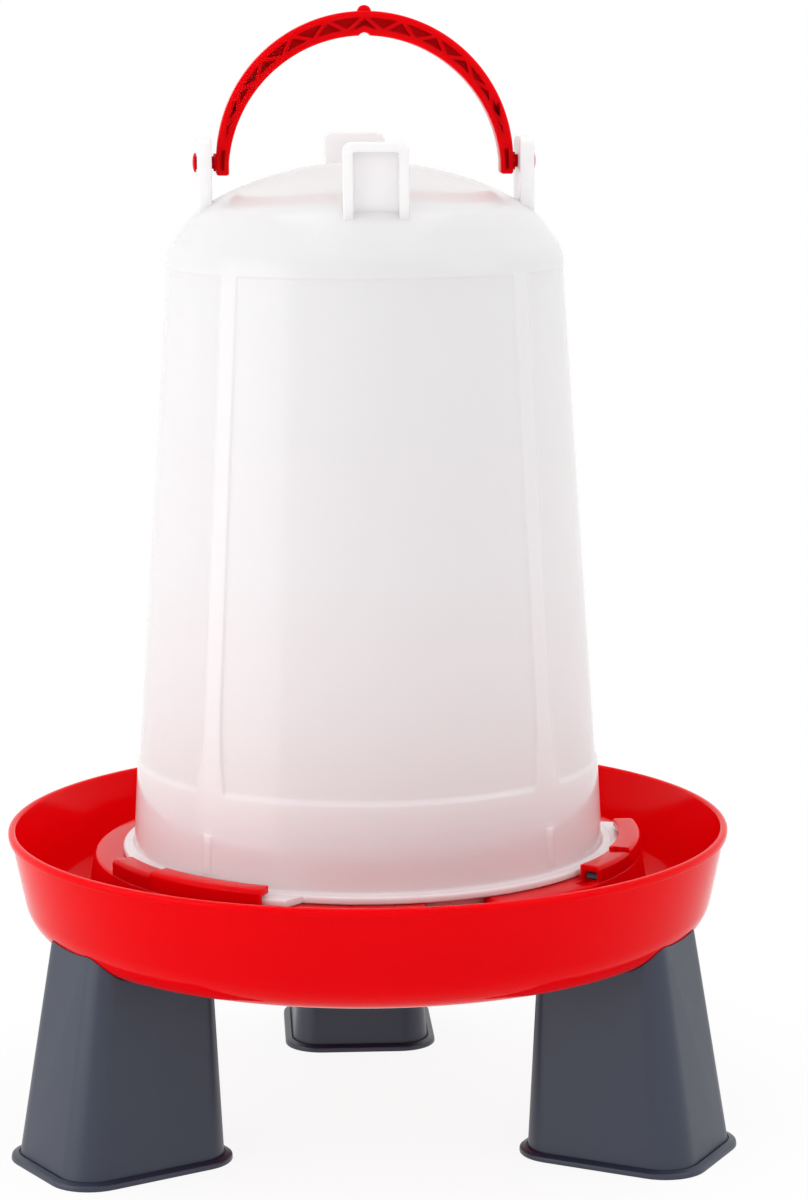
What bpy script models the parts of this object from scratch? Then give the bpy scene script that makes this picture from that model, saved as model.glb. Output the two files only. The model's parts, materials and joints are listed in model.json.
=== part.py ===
"""Poultry drinker: a bell reservoir that twists into a round tray, a bail handle and three clip-on legs.

Sizes are metres and +Z is up. Angles are degrees: an azimuth starts at the front (-Y) and grows towards the
right (+X), anticlockwise seen from above. Every piece is drawn about the drinker's own upright axis, which the
empty called axis then places so that the origin is at the centre of the footprint box, on the floor.
"""

import math

import bmesh
import bpy
from mathutils import Matrix, Vector

# Clearances
GAP = 0.0003
SLIDE_GAP = 0.0006
LIP_GAP = 0.0008
TURN_GAP = 0.0003
SKIRT_GAP = 0.0040
CLIP_GAP = 0.0029
EAR_SPACE = 0.0023

# Driving sizes of the reservoir's wall
BELL_TURN = 1.35
BELL_WALL = 0.0024
BAND_R = 0.1172
BAND_HEIGHT = 0.0416
BAND_TAPER = 0.0023
BARREL_HEIGHT = 0.2944
BARREL_TAPER = 0.0175
SHOULDER_CONE = 54.0
BROW_INSET = 0.0139
DOME_RISE = 0.0431
DOME_HEIGHT = 0.0243
KNEE_FILLET = 0.0220
BROW_FILLET = 0.0280

# Driving sizes of the panels and the pilasters between them
PANEL_RECESS = 0.0011
PANEL_MARGIN = 0.0069
PANEL_EDGE = 0.0014
LEDGE_DROP = 0.0005
LEDGE_RISE = 0.0030
PILASTER_HALF = 0.0046
PILASTER_FLARE = 0.0042
FLARE_HEIGHT = 0.0450
RIB_HALF = 0.0019
RIB_RELIEF = 0.0008
RIB_START = 0.0022
RIB_SHARE = 0.52

# Driving sizes of the reservoir's flange, lugs and skirt
FLANGE_REACH = 0.0055
FLANGE_T = 0.0036
SKIRT_INSET = 0.0017
SKIRT_DROP = 0.0120
SKIRT_TAPER = 0.0008
LUG_REACH = 0.0098
LUG_SPAN = 35.0
LUG_LEAN = 2.7

# Driving sizes of the four feet on the dome
FOOT_T = 0.0070
FOOT_WIDTH = 0.0308
FOOT_RISE = 0.0116
FOOT_FLANGE = 0.0047
FOOT_WEB = 0.0028
FOOT_CORNER = 0.0040
EAR_CAP = 0.0119

# Driving sizes of the tray
TRAY_DEPTH = 0.0541
TRAY_WALL = 0.0027
TRAY_SLOPE = 0.202
TRAY_CORNER = 0.0236
TROUGH_WIDTH = 0.0431
BEAD_REACH = 0.0009
BEAD_DEPTH = 0.0040
BEAD_DRAFT = 0.0002
BEAD_FILLET = 0.0018

# Driving sizes of the pedestal ring that carries the reservoir
RING_DROP = 0.0129
RING_SLOPE = 0.18
RING_INNER_SLOPE = 0.03
RING_FILLET = 0.0018
ROOT_FILLET = 0.0030
BASIN_RISE = 0.0060

# Driving sizes of the three bayonet clips
BLOCK_SPAN = 16.5
HOOK_SPAN = 27.5
BLOCK_STEP = 0.0015
HOOK_WALL = 0.0038
LIP_T = 0.0040
CLIP_FILLET = 0.0025
CLIP_WALL = 0.0018
WINDOW_SILL = 0.0004
WINDOW_HEIGHT = 0.0040
SLOT_WIDTH = 0.0020
RAMP_LENGTH = 0.0100
RAMP_DEPTH = 0.0011

# Driving sizes of the water port
PORT_START = 9.6
PORT_SPAN = 15.2
PORT_DEPTH = 0.0230
PORT_SLANT = 0.0053
PORT_SLANT_DEPTH = 0.0036
PORT_FILLET = 0.0034

# Driving sizes of the handle
BAIL_R = 0.0723
BAIL_BAND = 0.0060
BAIL_OFFSET = 0.0058
BAIL_DEPTH = 0.0130
BAIL_DROP = 0.0062
BAIL_RIM = 0.0023
BAIL_WEB = 0.0022
BAIL_CORNER = 0.0012
TRUSS_PITCH = 15.2
TRUSS_BAYS = 5
RIB_T = 0.0020
KNOB_R = 0.0034
KNOB_SINK = 0.0006
NOTCH_R = 0.0032
NOTCH_DEPTH = 0.0015
STUD_R = 0.0031
BOSS_R = 0.00435
BOSS_SHARE = 0.6
HEAD_R = 0.0047
HEAD_T = 0.0018
HEAD_STEPS = ((0, 1), (0.35, 1), (0.75, 0.82), (1, 0.45))

# Driving sizes of the legs
LEG_HEIGHT = 0.0961
LEG_AZIMUTH = 60.0
LEG_REACH = 0.0072
LEG_LENGTH = 0.0874
LEG_TOP_REACH = -0.0088
LEG_TOP_LENGTH = 0.0669
LEG_HALF_WIDTH = 0.0365
LEG_TOP_HALF_WIDTH = 0.0280
LEG_CORNER = 0.0178
LEG_TOP_CORNER = 0.0113
LEG_INNER_CORNER = 0.0160
LEG_TOP_INNER_CORNER = 0.0072
LEG_WALL = 0.0024
LEG_FLANGE = 0.0040
LEG_FLANGE_T = 0.0029
PRONG_T = 0.0030
PRONG_WIDTH = 0.0056
PRONG_BARB = 0.0022
PRONG_SPACE = 0.0002
PRONG_ROOM = 0.0006

# Small edges, and how far a cutter passes the face it cuts or a joined shape sinks into its neighbour
EDGE = 0.0008
OVERCUT = 0.0020
SINK = 0.0002

# Facets
TURN_STEPS = 56
BORE_STEPS = 24
SLOT_STEPS = 8
SWEEP_STEP = 5.0
TINY_ARC = 0.0012
SMALL_ARC = 0.0040
CORNER_SHARE = 0.85
SHARP_ANGLE = 32
PANEL_ROWS = (0, 0.05, 0.11, 0.18, 0.34, 0.5, 0.66, 0.82, 1)
DOME_ROWS = (0.92, 0.76, 0.6, 0.44, 0.28, 0.12)
INNER_PANEL_ROWS = (0, 0.33, 0.66, 1)
INNER_DOME_ROWS = (0.8, 0.55, 0.25)
PANEL_BAYS = 9
BAIL_STEPS = 36

# Radii worked out from the driving sizes
SKIRT_R = BAND_R - SKIRT_INSET
FLANGE_R = BAND_R + FLANGE_REACH
LEDGE_R = BAND_R - BAND_TAPER
SHOULDER_R = LEDGE_R - BARREL_TAPER
BROW_R = SHOULDER_R - BROW_INSET
DOME_R = (BROW_R**2 + DOME_HEIGHT**2) / (2 * DOME_HEIGHT)
LUG_R = FLANGE_R + LUG_REACH
RING_INNER_R = SKIRT_R + SKIRT_GAP
RING_OUTER_R = LUG_R + SLIDE_GAP + HOOK_WALL
CLIP_INNER_R = FLANGE_R + CLIP_GAP
RIM_R = RING_OUTER_R + TROUGH_WIDTH
BAIL_INNER_R = BAIL_R - BAIL_BAND
FOOT_INNER_R = BAIL_R + EAR_SPACE
FOOT_OUTER_R = FOOT_INNER_R + FOOT_T
LEG_OUTER_R = RIM_R + LEG_REACH
LEG_TOP_OUTER_R = RIM_R + LEG_TOP_REACH

# Heights worked out from the driving sizes
RIM_Z = LEG_HEIGHT + TRAY_DEPTH
RING_Z = RIM_Z - RING_DROP
TROUGH_Z = LEG_HEIGHT + TRAY_WALL
FLANGE_Z = RING_Z + GAP
BAND_Z = FLANGE_Z + FLANGE_T
LEDGE_Z = BAND_Z + BAND_HEIGHT
SHOULDER_Z = BAND_Z + BARREL_HEIGHT
PANEL_TOP_Z = SHOULDER_Z - PANEL_MARGIN
APEX_Z = SHOULDER_Z + DOME_RISE
BROW_Z = APEX_Z - DOME_HEIGHT
FOOT_Z = APEX_Z + FOOT_RISE
PIN_Z = FOOT_Z - EAR_CAP
HOOK_Z = BAND_Z + LIP_GAP + LIP_T
BLOCK_Z = HOOK_Z - BLOCK_STEP

# Where the clips stand, and the prongs of the legs inside the clips' blocks
LEG_AZIMUTHS = (LEG_AZIMUTH, LEG_AZIMUTH + 120, LEG_AZIMUTH + 240)
CLIP_AZIMUTHS = tuple(azimuth - BLOCK_SPAN / 2 for azimuth in LEG_AZIMUTHS)
HOLLOW_OUT_R = RING_OUTER_R + RING_SLOPE * TRAY_WALL - TRAY_WALL
SOCKET_END = math.degrees(CLIP_WALL / CLIP_INNER_R)
PRONG_REACH = CLIP_INNER_R * math.sin(math.radians(BLOCK_SPAN / 2 - SOCKET_END)) - GAP
PRONG_OUT_R = math.sqrt((HOLLOW_OUT_R - PRONG_SPACE) ** 2 - PRONG_REACH**2)
PRONG_IN_R = PRONG_OUT_R - PRONG_WIDTH
PRONG_MIDDLE_R = (PRONG_IN_R + PRONG_OUT_R) / 2
SOCKET_OUT_R = math.hypot(PRONG_OUT_R, PRONG_REACH + PRONG_BARB) + PRONG_ROOM
SOCKET_IN_R = PRONG_IN_R - PRONG_ROOM
FOOTPRINT_SHIFT = (RIM_R - LEG_OUTER_R - LEG_FLANGE) / 2


def clear_scene():
    for obj in list(bpy.data.objects):
        bpy.data.objects.remove(obj)


def plastic(name, colour, roughness, alpha=1.0):
    material = bpy.data.materials.new(name)
    material.use_nodes = True
    shader = material.node_tree.nodes["Principled BSDF"]
    shader.inputs["Base Color"].default_value = (*colour, 1)
    shader.inputs["Roughness"].default_value = roughness
    shader.inputs["Metallic"].default_value = 0
    shader.inputs["Alpha"].default_value = alpha
    return material


def solid(name, bm, material=None):
    """Makes an object of the closed shape in bm, its faces turned outwards. Without a material it is a tool."""
    bmesh.ops.remove_doubles(bm, verts=bm.verts, dist=1e-7)
    bmesh.ops.recalc_face_normals(bm, faces=bm.faces)
    if bm.calc_volume(signed=True) < 0:
        bmesh.ops.reverse_faces(bm, faces=bm.faces)
    mesh = bpy.data.meshes.new(name)
    bm.to_mesh(mesh)
    bm.free()
    mesh.shade_smooth()
    mesh.set_sharp_from_angle(angle=math.radians(SHARP_ANGLE))
    obj = bpy.data.objects.new(name, mesh)
    bpy.context.scene.collection.objects.link(obj)
    if material:
        mesh.materials.append(material)
    else:
        obj.hide_render = True
        obj.display_type = "WIRE"
    return obj


def combine(obj, other, operation):
    modifier = obj.modifiers.new(f"{operation.lower()} {other.name}", "BOOLEAN")
    modifier.operation = operation
    modifier.solver = "EXACT"
    modifier.object = other


def arc_step(radius):
    """Degrees in one facet of an arc: small fillets get fewer facets."""
    if radius < TINY_ARC:
        return 90
    return 45 if radius < SMALL_ARC else 18


def rounded(corners):
    """Turns (x, y, radius) corners into outline points, with an arc of that radius in each corner."""
    points = []
    count = len(corners)
    for i, (x, y, radius) in enumerate(corners):
        here = Vector((x, y))
        if radius <= 0:
            points.append(here)
            continue
        before = Vector(corners[i - 1][:2]) - here
        after = Vector(corners[(i + 1) % count][:2]) - here
        half = before.angle(after) / 2
        reach = min(radius / math.tan(half), CORNER_SHARE * before.length, CORNER_SHARE * after.length)
        radius = reach * math.tan(half)
        centre = here + (before.normalized() + after.normalized()).normalized() * radius / math.sin(half)
        start = here + before.normalized() * reach - centre
        end = here + after.normalized() * reach - centre
        sweep = start.angle_signed(end)
        steps = max(1, round(abs(sweep) / math.radians(arc_step(radius))))
        for k in range(steps + 1):
            turn = Matrix.Rotation(-sweep * k / steps, 2)
            points.append(centre + turn @ start)
    return [(p.x, p.y) for p in points]


def inset_outline(points, distance, closed=True):
    """Moves each side of a clockwise outline inwards. An open outline's ends move square to their sides."""
    moved = []
    last = len(points) - 1
    for i, point in enumerate(points):
        here = Vector(point)
        normals = []
        for a, b in ((i - 1, i), (i, i + 1)):
            if closed or (a >= 0 and b <= last):
                side = (Vector(points[b % (last + 1)]) - Vector(points[a])).normalized()
                normals.append(Vector((side.y, -side.x)))
        if len(normals) == 1:
            moved.append(here + normals[0] * distance)
        else:
            moved.append(here + (normals[0] + normals[1]) * distance / (1 + normals[0].dot(normals[1])))
    return [(p.x, p.y) for p in moved]


def on_axis(azimuth):
    """The unit vector that points outwards at an azimuth."""
    angle = math.radians(azimuth)
    return Vector((math.sin(angle), -math.cos(angle), 0))


def along_azimuth(azimuth, radial, sideways, height):
    out = on_axis(azimuth)
    side = Vector((-out.y, out.x, 0))
    return out * radial + side * sideways + Vector((0, 0, height))


def bridge(bm, rings, closed=False):
    """Joins rings of equally many points with quads, and the last ring to the first if closed."""
    pairs = list(zip(rings, rings[1:]))
    if closed:
        pairs.append((rings[-1], rings[0]))
    for low, high in pairs:
        for i in range(len(low)):
            corners = []
            for vert in (low[i - 1], low[i], high[i], high[i - 1]):
                if vert not in corners:
                    corners.append(vert)
            if len(corners) > 2:
                bm.faces.new(corners)


def lofted(name, sections, material=None):
    """Joins closed sections, each a list of equally many points, into a capped solid."""
    bm = bmesh.new()
    rings = [[bm.verts.new(p) for p in section] for section in sections]
    bridge(bm, rings)
    bm.faces.new(rings[0])
    bm.faces.new(rings[-1])
    return solid(name, bm, material)


def extruded(name, outline, low_y, high_y):
    """Extrudes a list of (x, z) points between two depths."""
    return lofted(name, [[(x, y, z) for x, z in outline] for y in (low_y, high_y)])


def plate(name, outline, azimuth, low_r, high_r):
    """Extrudes a list of (sideways, z) points along an azimuth, between two radial distances."""
    return lofted(name, [[along_azimuth(azimuth, r, u, z) for u, z in outline] for r in (low_r, high_r)])


def turned(name, profile, material=None):
    """Revolves a closed profile of (radius, height) points about the axis."""
    bm = bmesh.new()
    rings = []
    for radius, height in profile:
        if radius < 1e-6:
            rings.append([bm.verts.new((0, 0, height))] * TURN_STEPS)
            continue
        around = [on_axis(360 * k / TURN_STEPS) * radius for k in range(TURN_STEPS)]
        rings.append([bm.verts.new((p.x, p.y, height)) for p in around])
    touches_axis = profile[0][0] < 1e-6
    bridge(bm, rings, closed=not touches_axis)
    return solid(name, bm, material)


def swept(name, section, start, end, lean=0.0):
    """Sweeps a (radius, height) section about the axis from one azimuth to another.

    With lean, the far end slants: it reaches lean degrees less at the section's largest radius.
    """
    steps = max(1, math.ceil((end - start) / SWEEP_STEP))
    low = min(r for r, _ in section)
    high = max(r for r, _ in section)
    sections = []
    for k in range(steps + 1):
        ring = []
        for radius, height in section:
            far = end - lean * (radius - low) / (high - low)
            azimuth = start + (far - start) * k / steps
            ring.append(on_axis(azimuth) * radius + Vector((0, 0, height)))
        sections.append(ring)
    return lofted(name, sections)


def box_section(low_r, high_r, low_z, high_z):
    return [(low_r, low_z), (high_r, low_z), (high_r, high_z), (low_r, high_z)]


def circle(radius, height):
    points = []
    for k in range(BORE_STEPS):
        angle = math.tau * k / BORE_STEPS
        points.append((radius * math.cos(angle), height + radius * math.sin(angle)))
    return points


def tray_wall_r(height):
    """Outer radius of the tray's wall."""
    return RIM_R - BEAD_REACH - TRAY_SLOPE * (RIM_Z - height)


def ring_wall_r(height):
    """Outer radius of the pedestal ring."""
    return RING_OUTER_R + RING_SLOPE * (RING_Z - height)


def ring_bore_r(height):
    """Inner radius of the pedestal ring."""
    return RING_INNER_R - RING_INNER_SLOPE * (RING_Z - height)


def tray_profile():
    """The tray's section: basin, ring, trough and beaded rim above, then back along its underside."""
    basin_z = TROUGH_Z + BASIN_RISE
    hollow_z = RING_Z - TRAY_WALL
    bead_z = RIM_Z - BEAD_DEPTH
    bottom = LEG_HEIGHT
    return rounded([
        (0, basin_z, 0),
        (ring_bore_r(basin_z), basin_z, ROOT_FILLET),
        (RING_INNER_R, RING_Z, EDGE),
        (RING_OUTER_R, RING_Z, RING_FILLET),
        (ring_wall_r(TROUGH_Z), TROUGH_Z, ROOT_FILLET),
        (tray_wall_r(TROUGH_Z) - TRAY_WALL, TROUGH_Z, TRAY_CORNER - TRAY_WALL),
        (tray_wall_r(RIM_Z) - TRAY_WALL, RIM_Z, TRAY_WALL / 2),
        (RIM_R, RIM_Z, BEAD_FILLET),
        (RIM_R - BEAD_DRAFT, bead_z, EDGE),
        (tray_wall_r(bead_z), bead_z, 0),
        (tray_wall_r(bottom), bottom, TRAY_CORNER),
        (ring_wall_r(bottom) - TRAY_WALL, bottom, EDGE),
        (ring_wall_r(hollow_z) - TRAY_WALL, hollow_z, EDGE),
        (RING_INNER_R + TRAY_WALL, hollow_z, EDGE),
        (ring_bore_r(bottom) + TRAY_WALL, bottom, EDGE),
        (ring_bore_r(bottom) - TRAY_WALL, bottom, EDGE),
        (ring_bore_r(bottom) - TRAY_WALL - BASIN_RISE, basin_z - TRAY_WALL, EDGE),
        (0, basin_z - TRAY_WALL, 0),
    ])


def add_clip(tray, number, start):
    """One bayonet clip: a block over the leg's prongs, then a hook with its lip over the reservoir's lug."""
    root_z = RING_Z - TRAY_WALL / 2
    outer_r = RING_OUTER_R - SINK
    step = start + BLOCK_SPAN
    block = rounded([
        (CLIP_INNER_R, root_z, 0),
        (outer_r, root_z, 0),
        (outer_r, BLOCK_Z, CLIP_FILLET),
        (CLIP_INNER_R, BLOCK_Z, EDGE),
    ])
    lip_z = HOOK_Z - LIP_T
    hook = rounded([
        (outer_r - HOOK_WALL + SINK, root_z, 0),
        (outer_r, root_z, 0),
        (outer_r, HOOK_Z, CLIP_FILLET),
        (CLIP_INNER_R, HOOK_Z, EDGE),
        (CLIP_INNER_R, lip_z, EDGE),
        (outer_r - HOOK_WALL + SINK, lip_z, 0),
    ])
    combine(tray, swept(f"block {number}", block, start, step), "UNION")
    combine(tray, swept(f"hook {number}", hook, step - SOCKET_END, step + HOOK_SPAN), "UNION")

    # The socket that the leg's prongs rise into, and the windows in its two ends
    hollow = box_section(SOCKET_IN_R, SOCKET_OUT_R, RING_Z - 2 * TRAY_WALL, BLOCK_Z - CLIP_WALL)
    combine(tray, swept(f"socket {number}", hollow, start + SOCKET_END, step - SOCKET_END), "DIFFERENCE")
    sill_z = RING_Z + WINDOW_SILL
    window = box_section(SOCKET_IN_R, SOCKET_OUT_R, sill_z, sill_z + WINDOW_HEIGHT)
    past = SOCKET_END / 2
    combine(tray, swept(f"window {number}", window, start - past, start + SOCKET_END + past), "DIFFERENCE")
    far_start = step - SOCKET_END - past
    combine(tray, swept(f"far window {number}", window, far_start, step + past / 4), "DIFFERENCE")

    # The groove across the block's top, beside the hook, and the ramp that leads to the near window
    groove = box_section(SOCKET_IN_R, SOCKET_OUT_R, RING_Z + FLANGE_T, BLOCK_Z + OVERCUT)
    groove_span = math.degrees(SLOT_WIDTH / PRONG_MIDDLE_R)
    groove_start = step - SOCKET_END - groove_span + past
    combine(tray, swept(f"groove {number}", groove, groove_start, groove_start + groove_span), "DIFFERENCE")
    combine(tray, ramp_slot(number, start), "DIFFERENCE")


def ramp_slot(number, start):
    """The shallow round-ended slot in the ring's top that leads to the window."""
    half = PRONG_WIDTH / 2 - EDGE
    outline = [(EDGE, -half), (EDGE, half)]
    for k in range(SLOT_STEPS + 1):
        angle = math.radians(90 + 180 * k / SLOT_STEPS)
        outline.append((half * math.cos(angle) - RAMP_LENGTH + half, half * math.sin(angle)))
    out = on_axis(start)
    along = Vector((-out.y, out.x, 0))
    sections = []
    for z in (RING_Z - RAMP_DEPTH, RING_Z + OVERCUT):
        sections.append([out * (PRONG_MIDDLE_R + v) + along * u + Vector((0, 0, z)) for u, v in outline])
    return lofted(f"ramp slot {number}", sections)


def port_outline():
    """The port's mouth as (azimuth, height) points: a slanted left end and a rounded right end."""
    length = math.radians(PORT_SPAN) * RING_OUTER_R
    floor_z = RING_Z - PORT_DEPTH
    crest_z = RING_Z + SINK
    flat = rounded([
        (PORT_SLANT, floor_z, EDGE),
        (length, floor_z, EDGE),
        (length, crest_z, PORT_FILLET),
        (length + 2 * PORT_FILLET, crest_z, 0),
        (length + 2 * PORT_FILLET, RING_Z + OVERCUT, 0),
        (-PORT_SLANT * OVERCUT / PORT_SLANT_DEPTH, RING_Z + OVERCUT, 0),
        (PORT_SLANT, RING_Z - PORT_SLANT_DEPTH, EDGE),
    ])
    return [(PORT_START + math.degrees(s / RING_OUTER_R), z) for s, z in flat]


def add_port(tray):
    """The water port: a saddle across the ring, closed to the hollow below it."""
    wall = math.degrees(TRAY_WALL / RING_OUTER_R)
    end = PORT_START + PORT_SPAN
    inner = ring_bore_r(LEG_HEIGHT)
    outer = ring_wall_r(LEG_HEIGHT)
    under_z = RING_Z - PORT_DEPTH - TRAY_WALL
    plug = box_section(inner + EDGE, RING_OUTER_R - EDGE, LEG_HEIGHT + SINK, RING_Z - EDGE)
    combine(tray, swept("port plug", plug, PORT_START - wall, end + wall), "UNION")
    mouth = []
    for radius in (inner - 3 * OVERCUT, outer + 2 * OVERCUT):
        mouth.append([on_axis(azimuth) * radius + Vector((0, 0, z)) for azimuth, z in port_outline()])
    combine(tray, lofted("port mouth", mouth), "DIFFERENCE")
    under = box_section(RING_INNER_R + TRAY_WALL, RING_OUTER_R - TRAY_WALL, LEG_HEIGHT - OVERCUT, under_z)
    combine(tray, swept("port underside", under, PORT_START, end), "DIFFERENCE")


def make_tray(material):
    tray = turned("tray", tray_profile(), material)
    for number, start in enumerate(CLIP_AZIMUTHS, 1):
        add_clip(tray, number, start)
    add_port(tray)
    return tray


def band_r(height):
    """Outer radius of the reservoir's lower band."""
    return BAND_R + (LEDGE_R - BAND_R) * (height - BAND_Z) / BAND_HEIGHT


def barrel_r(height):
    """Outer radius of the reservoir's barrel, over the pilasters."""
    return LEDGE_R + (SHOULDER_R - LEDGE_R) * (height - LEDGE_Z) / (PANEL_TOP_Z - LEDGE_Z)


def roof_z(radius):
    """Height of the dome's surface or, outside the brow, of the cone below it."""
    if radius < BROW_R:
        return APEX_Z - DOME_R + math.sqrt(DOME_R**2 - radius**2)
    return BROW_Z - (radius - BROW_R) * math.tan(math.radians(SHOULDER_CONE))


def knee():
    """Where the barrel's side meets the shoulder's cone, as (radius, height)."""
    rise = math.tan(math.radians(SHOULDER_CONE))
    taper = (SHOULDER_R - LEDGE_R) / (PANEL_TOP_Z - LEDGE_Z)
    z = (BROW_Z + (BROW_R - LEDGE_R + taper * LEDGE_Z) * rise) / (1 + taper * rise)
    return barrel_r(z), z


def upper_outline(shares):
    """The (radius, height) points of the shoulder and dome, from the panels' top to the apex."""
    foot_z = PANEL_TOP_Z + SINK
    corners = [
        (barrel_r(foot_z), foot_z, 0),
        (*knee(), KNEE_FILLET),
        (BROW_R, BROW_Z, BROW_FILLET),
    ]
    for share in shares:
        corners.append((BROW_R * share, roof_z(BROW_R * share), 0))
    corners.append((0, APEX_Z, 0))
    return rounded(corners)


def bell_inside(inset):
    """The (radius, height) points of the reservoir's inner face, from the skirt up to the apex."""
    outer = [
        (SKIRT_R - SKIRT_TAPER, FLANGE_Z - SKIRT_DROP),
        (SKIRT_R, FLANGE_Z),
        (BAND_R, BAND_Z),
    ]
    for share in INNER_PANEL_ROWS:
        z = LEDGE_Z + (PANEL_TOP_Z - LEDGE_Z) * share
        outer.append((barrel_r(z) - PANEL_RECESS, z))
    outer += upper_outline(INNER_DOME_ROWS)[1:-1]
    skirt = (SKIRT_R - SKIRT_TAPER - inset, FLANGE_Z - SKIRT_DROP)
    return [skirt, *inset_outline(outer[::-1], inset, closed=False)[-2::-1], (0, APEX_Z - inset)]


def pilaster_half_width(height):
    """Half the pilaster's width, which flares in a curve towards the ledge."""
    near = max(0.0, 1 - (height - LEDGE_Z) / FLARE_HEIGHT)
    return PILASTER_HALF + PILASTER_FLARE * near * near


def panel_columns(height, radius):
    """(azimuth, panel share, rib share) of each column of points round the barrel at one height."""
    half = math.degrees(pilaster_half_width(height) / radius)
    edge = math.degrees(PANEL_EDGE / radius)
    rib = math.degrees(RIB_HALF / radius)
    columns = []
    for quarter in range(4):
        middle = BELL_TURN + 45 + 90 * quarter
        columns.append((middle - half - edge, 1, 0))
        columns.append((middle - half, 0, 0))
        columns.append((middle - rib, 0, 1))
        columns.append((middle + rib, 0, 1))
        columns.append((middle + half, 0, 0))
        first = middle + half + edge
        last = middle + 90 - half - edge
        for bay in range(PANEL_BAYS):
            columns.append((first + (last - first) * bay / PANEL_BAYS, 1, 0))
    return columns


def bell_rows():
    """The reservoir's outer rows, bottom to top, as (radius, height, panel recess, rib relief)."""
    rows = [
        (SKIRT_R - SKIRT_TAPER, FLANGE_Z - SKIRT_DROP, 0, 0),
        (SKIRT_R, FLANGE_Z - EDGE, 0, 0),
        (SKIRT_R + EDGE, FLANGE_Z, 0, 0),
        (FLANGE_R - EDGE, FLANGE_Z, 0, 0),
        (FLANGE_R, FLANGE_Z + EDGE, 0, 0),
        (FLANGE_R, BAND_Z - EDGE, 0, 0),
        (FLANGE_R - EDGE, BAND_Z, 0, 0),
        (BAND_R + EDGE, BAND_Z, 0, 0),
        (BAND_R, BAND_Z + EDGE, 0, 0),
    ]
    rib_start = BAND_Z + RIB_START
    rib_top = BAND_Z + RIB_SHARE * BAND_HEIGHT
    ledge_low = LEDGE_Z - LEDGE_DROP
    for z, relief in ((rib_start, RIB_RELIEF), (rib_top, RIB_RELIEF), (rib_top + EDGE, 0), (ledge_low, 0)):
        rows.append((band_r(z), z, 0, relief))
    ledge_high = LEDGE_Z + LEDGE_RISE
    for share in PANEL_ROWS:
        z = ledge_high + share * (PANEL_TOP_Z - PANEL_EDGE - ledge_high)
        rows.append((barrel_r(z), z, PANEL_RECESS * (1 - share / 2), 0))
    rows.append((barrel_r(PANEL_TOP_Z), PANEL_TOP_Z, 0, 0))
    for radius, z in upper_outline(DOME_ROWS):
        rows.append((radius, z, 0, 0))
    return rows


def make_shell(material):
    """The reservoir's closed shell: outer rows from the skirt to the apex, then inner rows back down."""
    bm = bmesh.new()
    rings = []
    count = len(panel_columns(LEDGE_Z, LEDGE_R))
    inside = [(radius, z, 0, 0) for radius, z in reversed(bell_inside(BELL_WALL))]
    for radius, z, recess, relief in bell_rows() + inside:
        if radius < 1e-6:
            rings.append([bm.verts.new((0, 0, z))] * count)
            continue
        ring = []
        for azimuth, panel, rib in panel_columns(z, radius):
            out = radius - recess * panel + relief * rib
            ring.append(bm.verts.new(on_axis(azimuth) * out + Vector((0, 0, z))))
        rings.append(ring)
    apex = rings.index(next(ring for ring in rings if ring[0] is ring[1]))
    bridge(bm, rings[: apex + 1])
    bridge(bm, rings[apex + 1 :])
    bridge(bm, [rings[-1], rings[0]])
    return solid("reservoir", bm, material)


def add_lug(reservoir, number, start):
    """One locking lug: it starts at the clip's block and runs under the hook to a slanted nose."""
    root_r = FLANGE_R - OVERCUT
    low_z = FLANGE_Z + SINK
    high_z = BAND_Z - SINK
    section = rounded([
        (root_r, low_z, 0),
        (LUG_R, low_z, EDGE),
        (LUG_R, high_z, EDGE),
        (root_r, high_z, 0),
    ])
    first = start + BLOCK_SPAN + math.degrees(GAP / LUG_R)
    combine(reservoir, swept(f"lug {number}", section, first, first + LUG_SPAN, LUG_LEAN), "UNION")


def add_foot(reservoir, cavity, number, azimuth, bored):
    """One foot on the dome: a channel with its web inwards. The two at the sides are the handle's ears."""
    half = FOOT_WIDTH / 2
    base = roof_z(math.hypot(FOOT_OUTER_R, half)) - BELL_WALL
    outline = rounded([
        (-half, base, 0),
        (half, base, 0),
        (half, FOOT_Z, FOOT_CORNER),
        (-half, FOOT_Z, FOOT_CORNER),
    ])
    foot = plate(f"foot {number}", outline, azimuth, FOOT_INNER_R, FOOT_OUTER_R)
    if not bored:
        pocket_half = half - FOOT_FLANGE
        pocket_top = FOOT_Z - FOOT_FLANGE
        pocket = rounded([
            (-pocket_half, base - OVERCUT, 0),
            (pocket_half, base - OVERCUT, 0),
            (pocket_half, pocket_top, EDGE),
            (-pocket_half, pocket_top, EDGE),
        ])
        tool = plate(f"pocket {number}", pocket, azimuth, FOOT_INNER_R + FOOT_WEB, FOOT_OUTER_R + OVERCUT)
        combine(foot, tool, "DIFFERENCE")
    combine(foot, cavity, "DIFFERENCE")
    combine(reservoir, foot, "UNION")
    if bored:
        bore = circle(STUD_R + TURN_GAP, PIN_Z)
        tool = plate(f"ear bore {number}", bore, azimuth, FOOT_INNER_R - OVERCUT, FOOT_OUTER_R + OVERCUT)
        combine(reservoir, tool, "DIFFERENCE")


def make_reservoir(material):
    reservoir = make_shell(material)
    for number, start in enumerate(CLIP_AZIMUTHS, 1):
        add_lug(reservoir, number, start)
    inner = bell_inside(BELL_WALL / 2)
    cavity = turned("cavity", [(0, inner[0][1]), *inner])
    for number in range(4):
        add_foot(reservoir, cavity, number + 1, BELL_TURN + 90 * number, bored=number % 2 == 1)
    return reservoir


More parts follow.
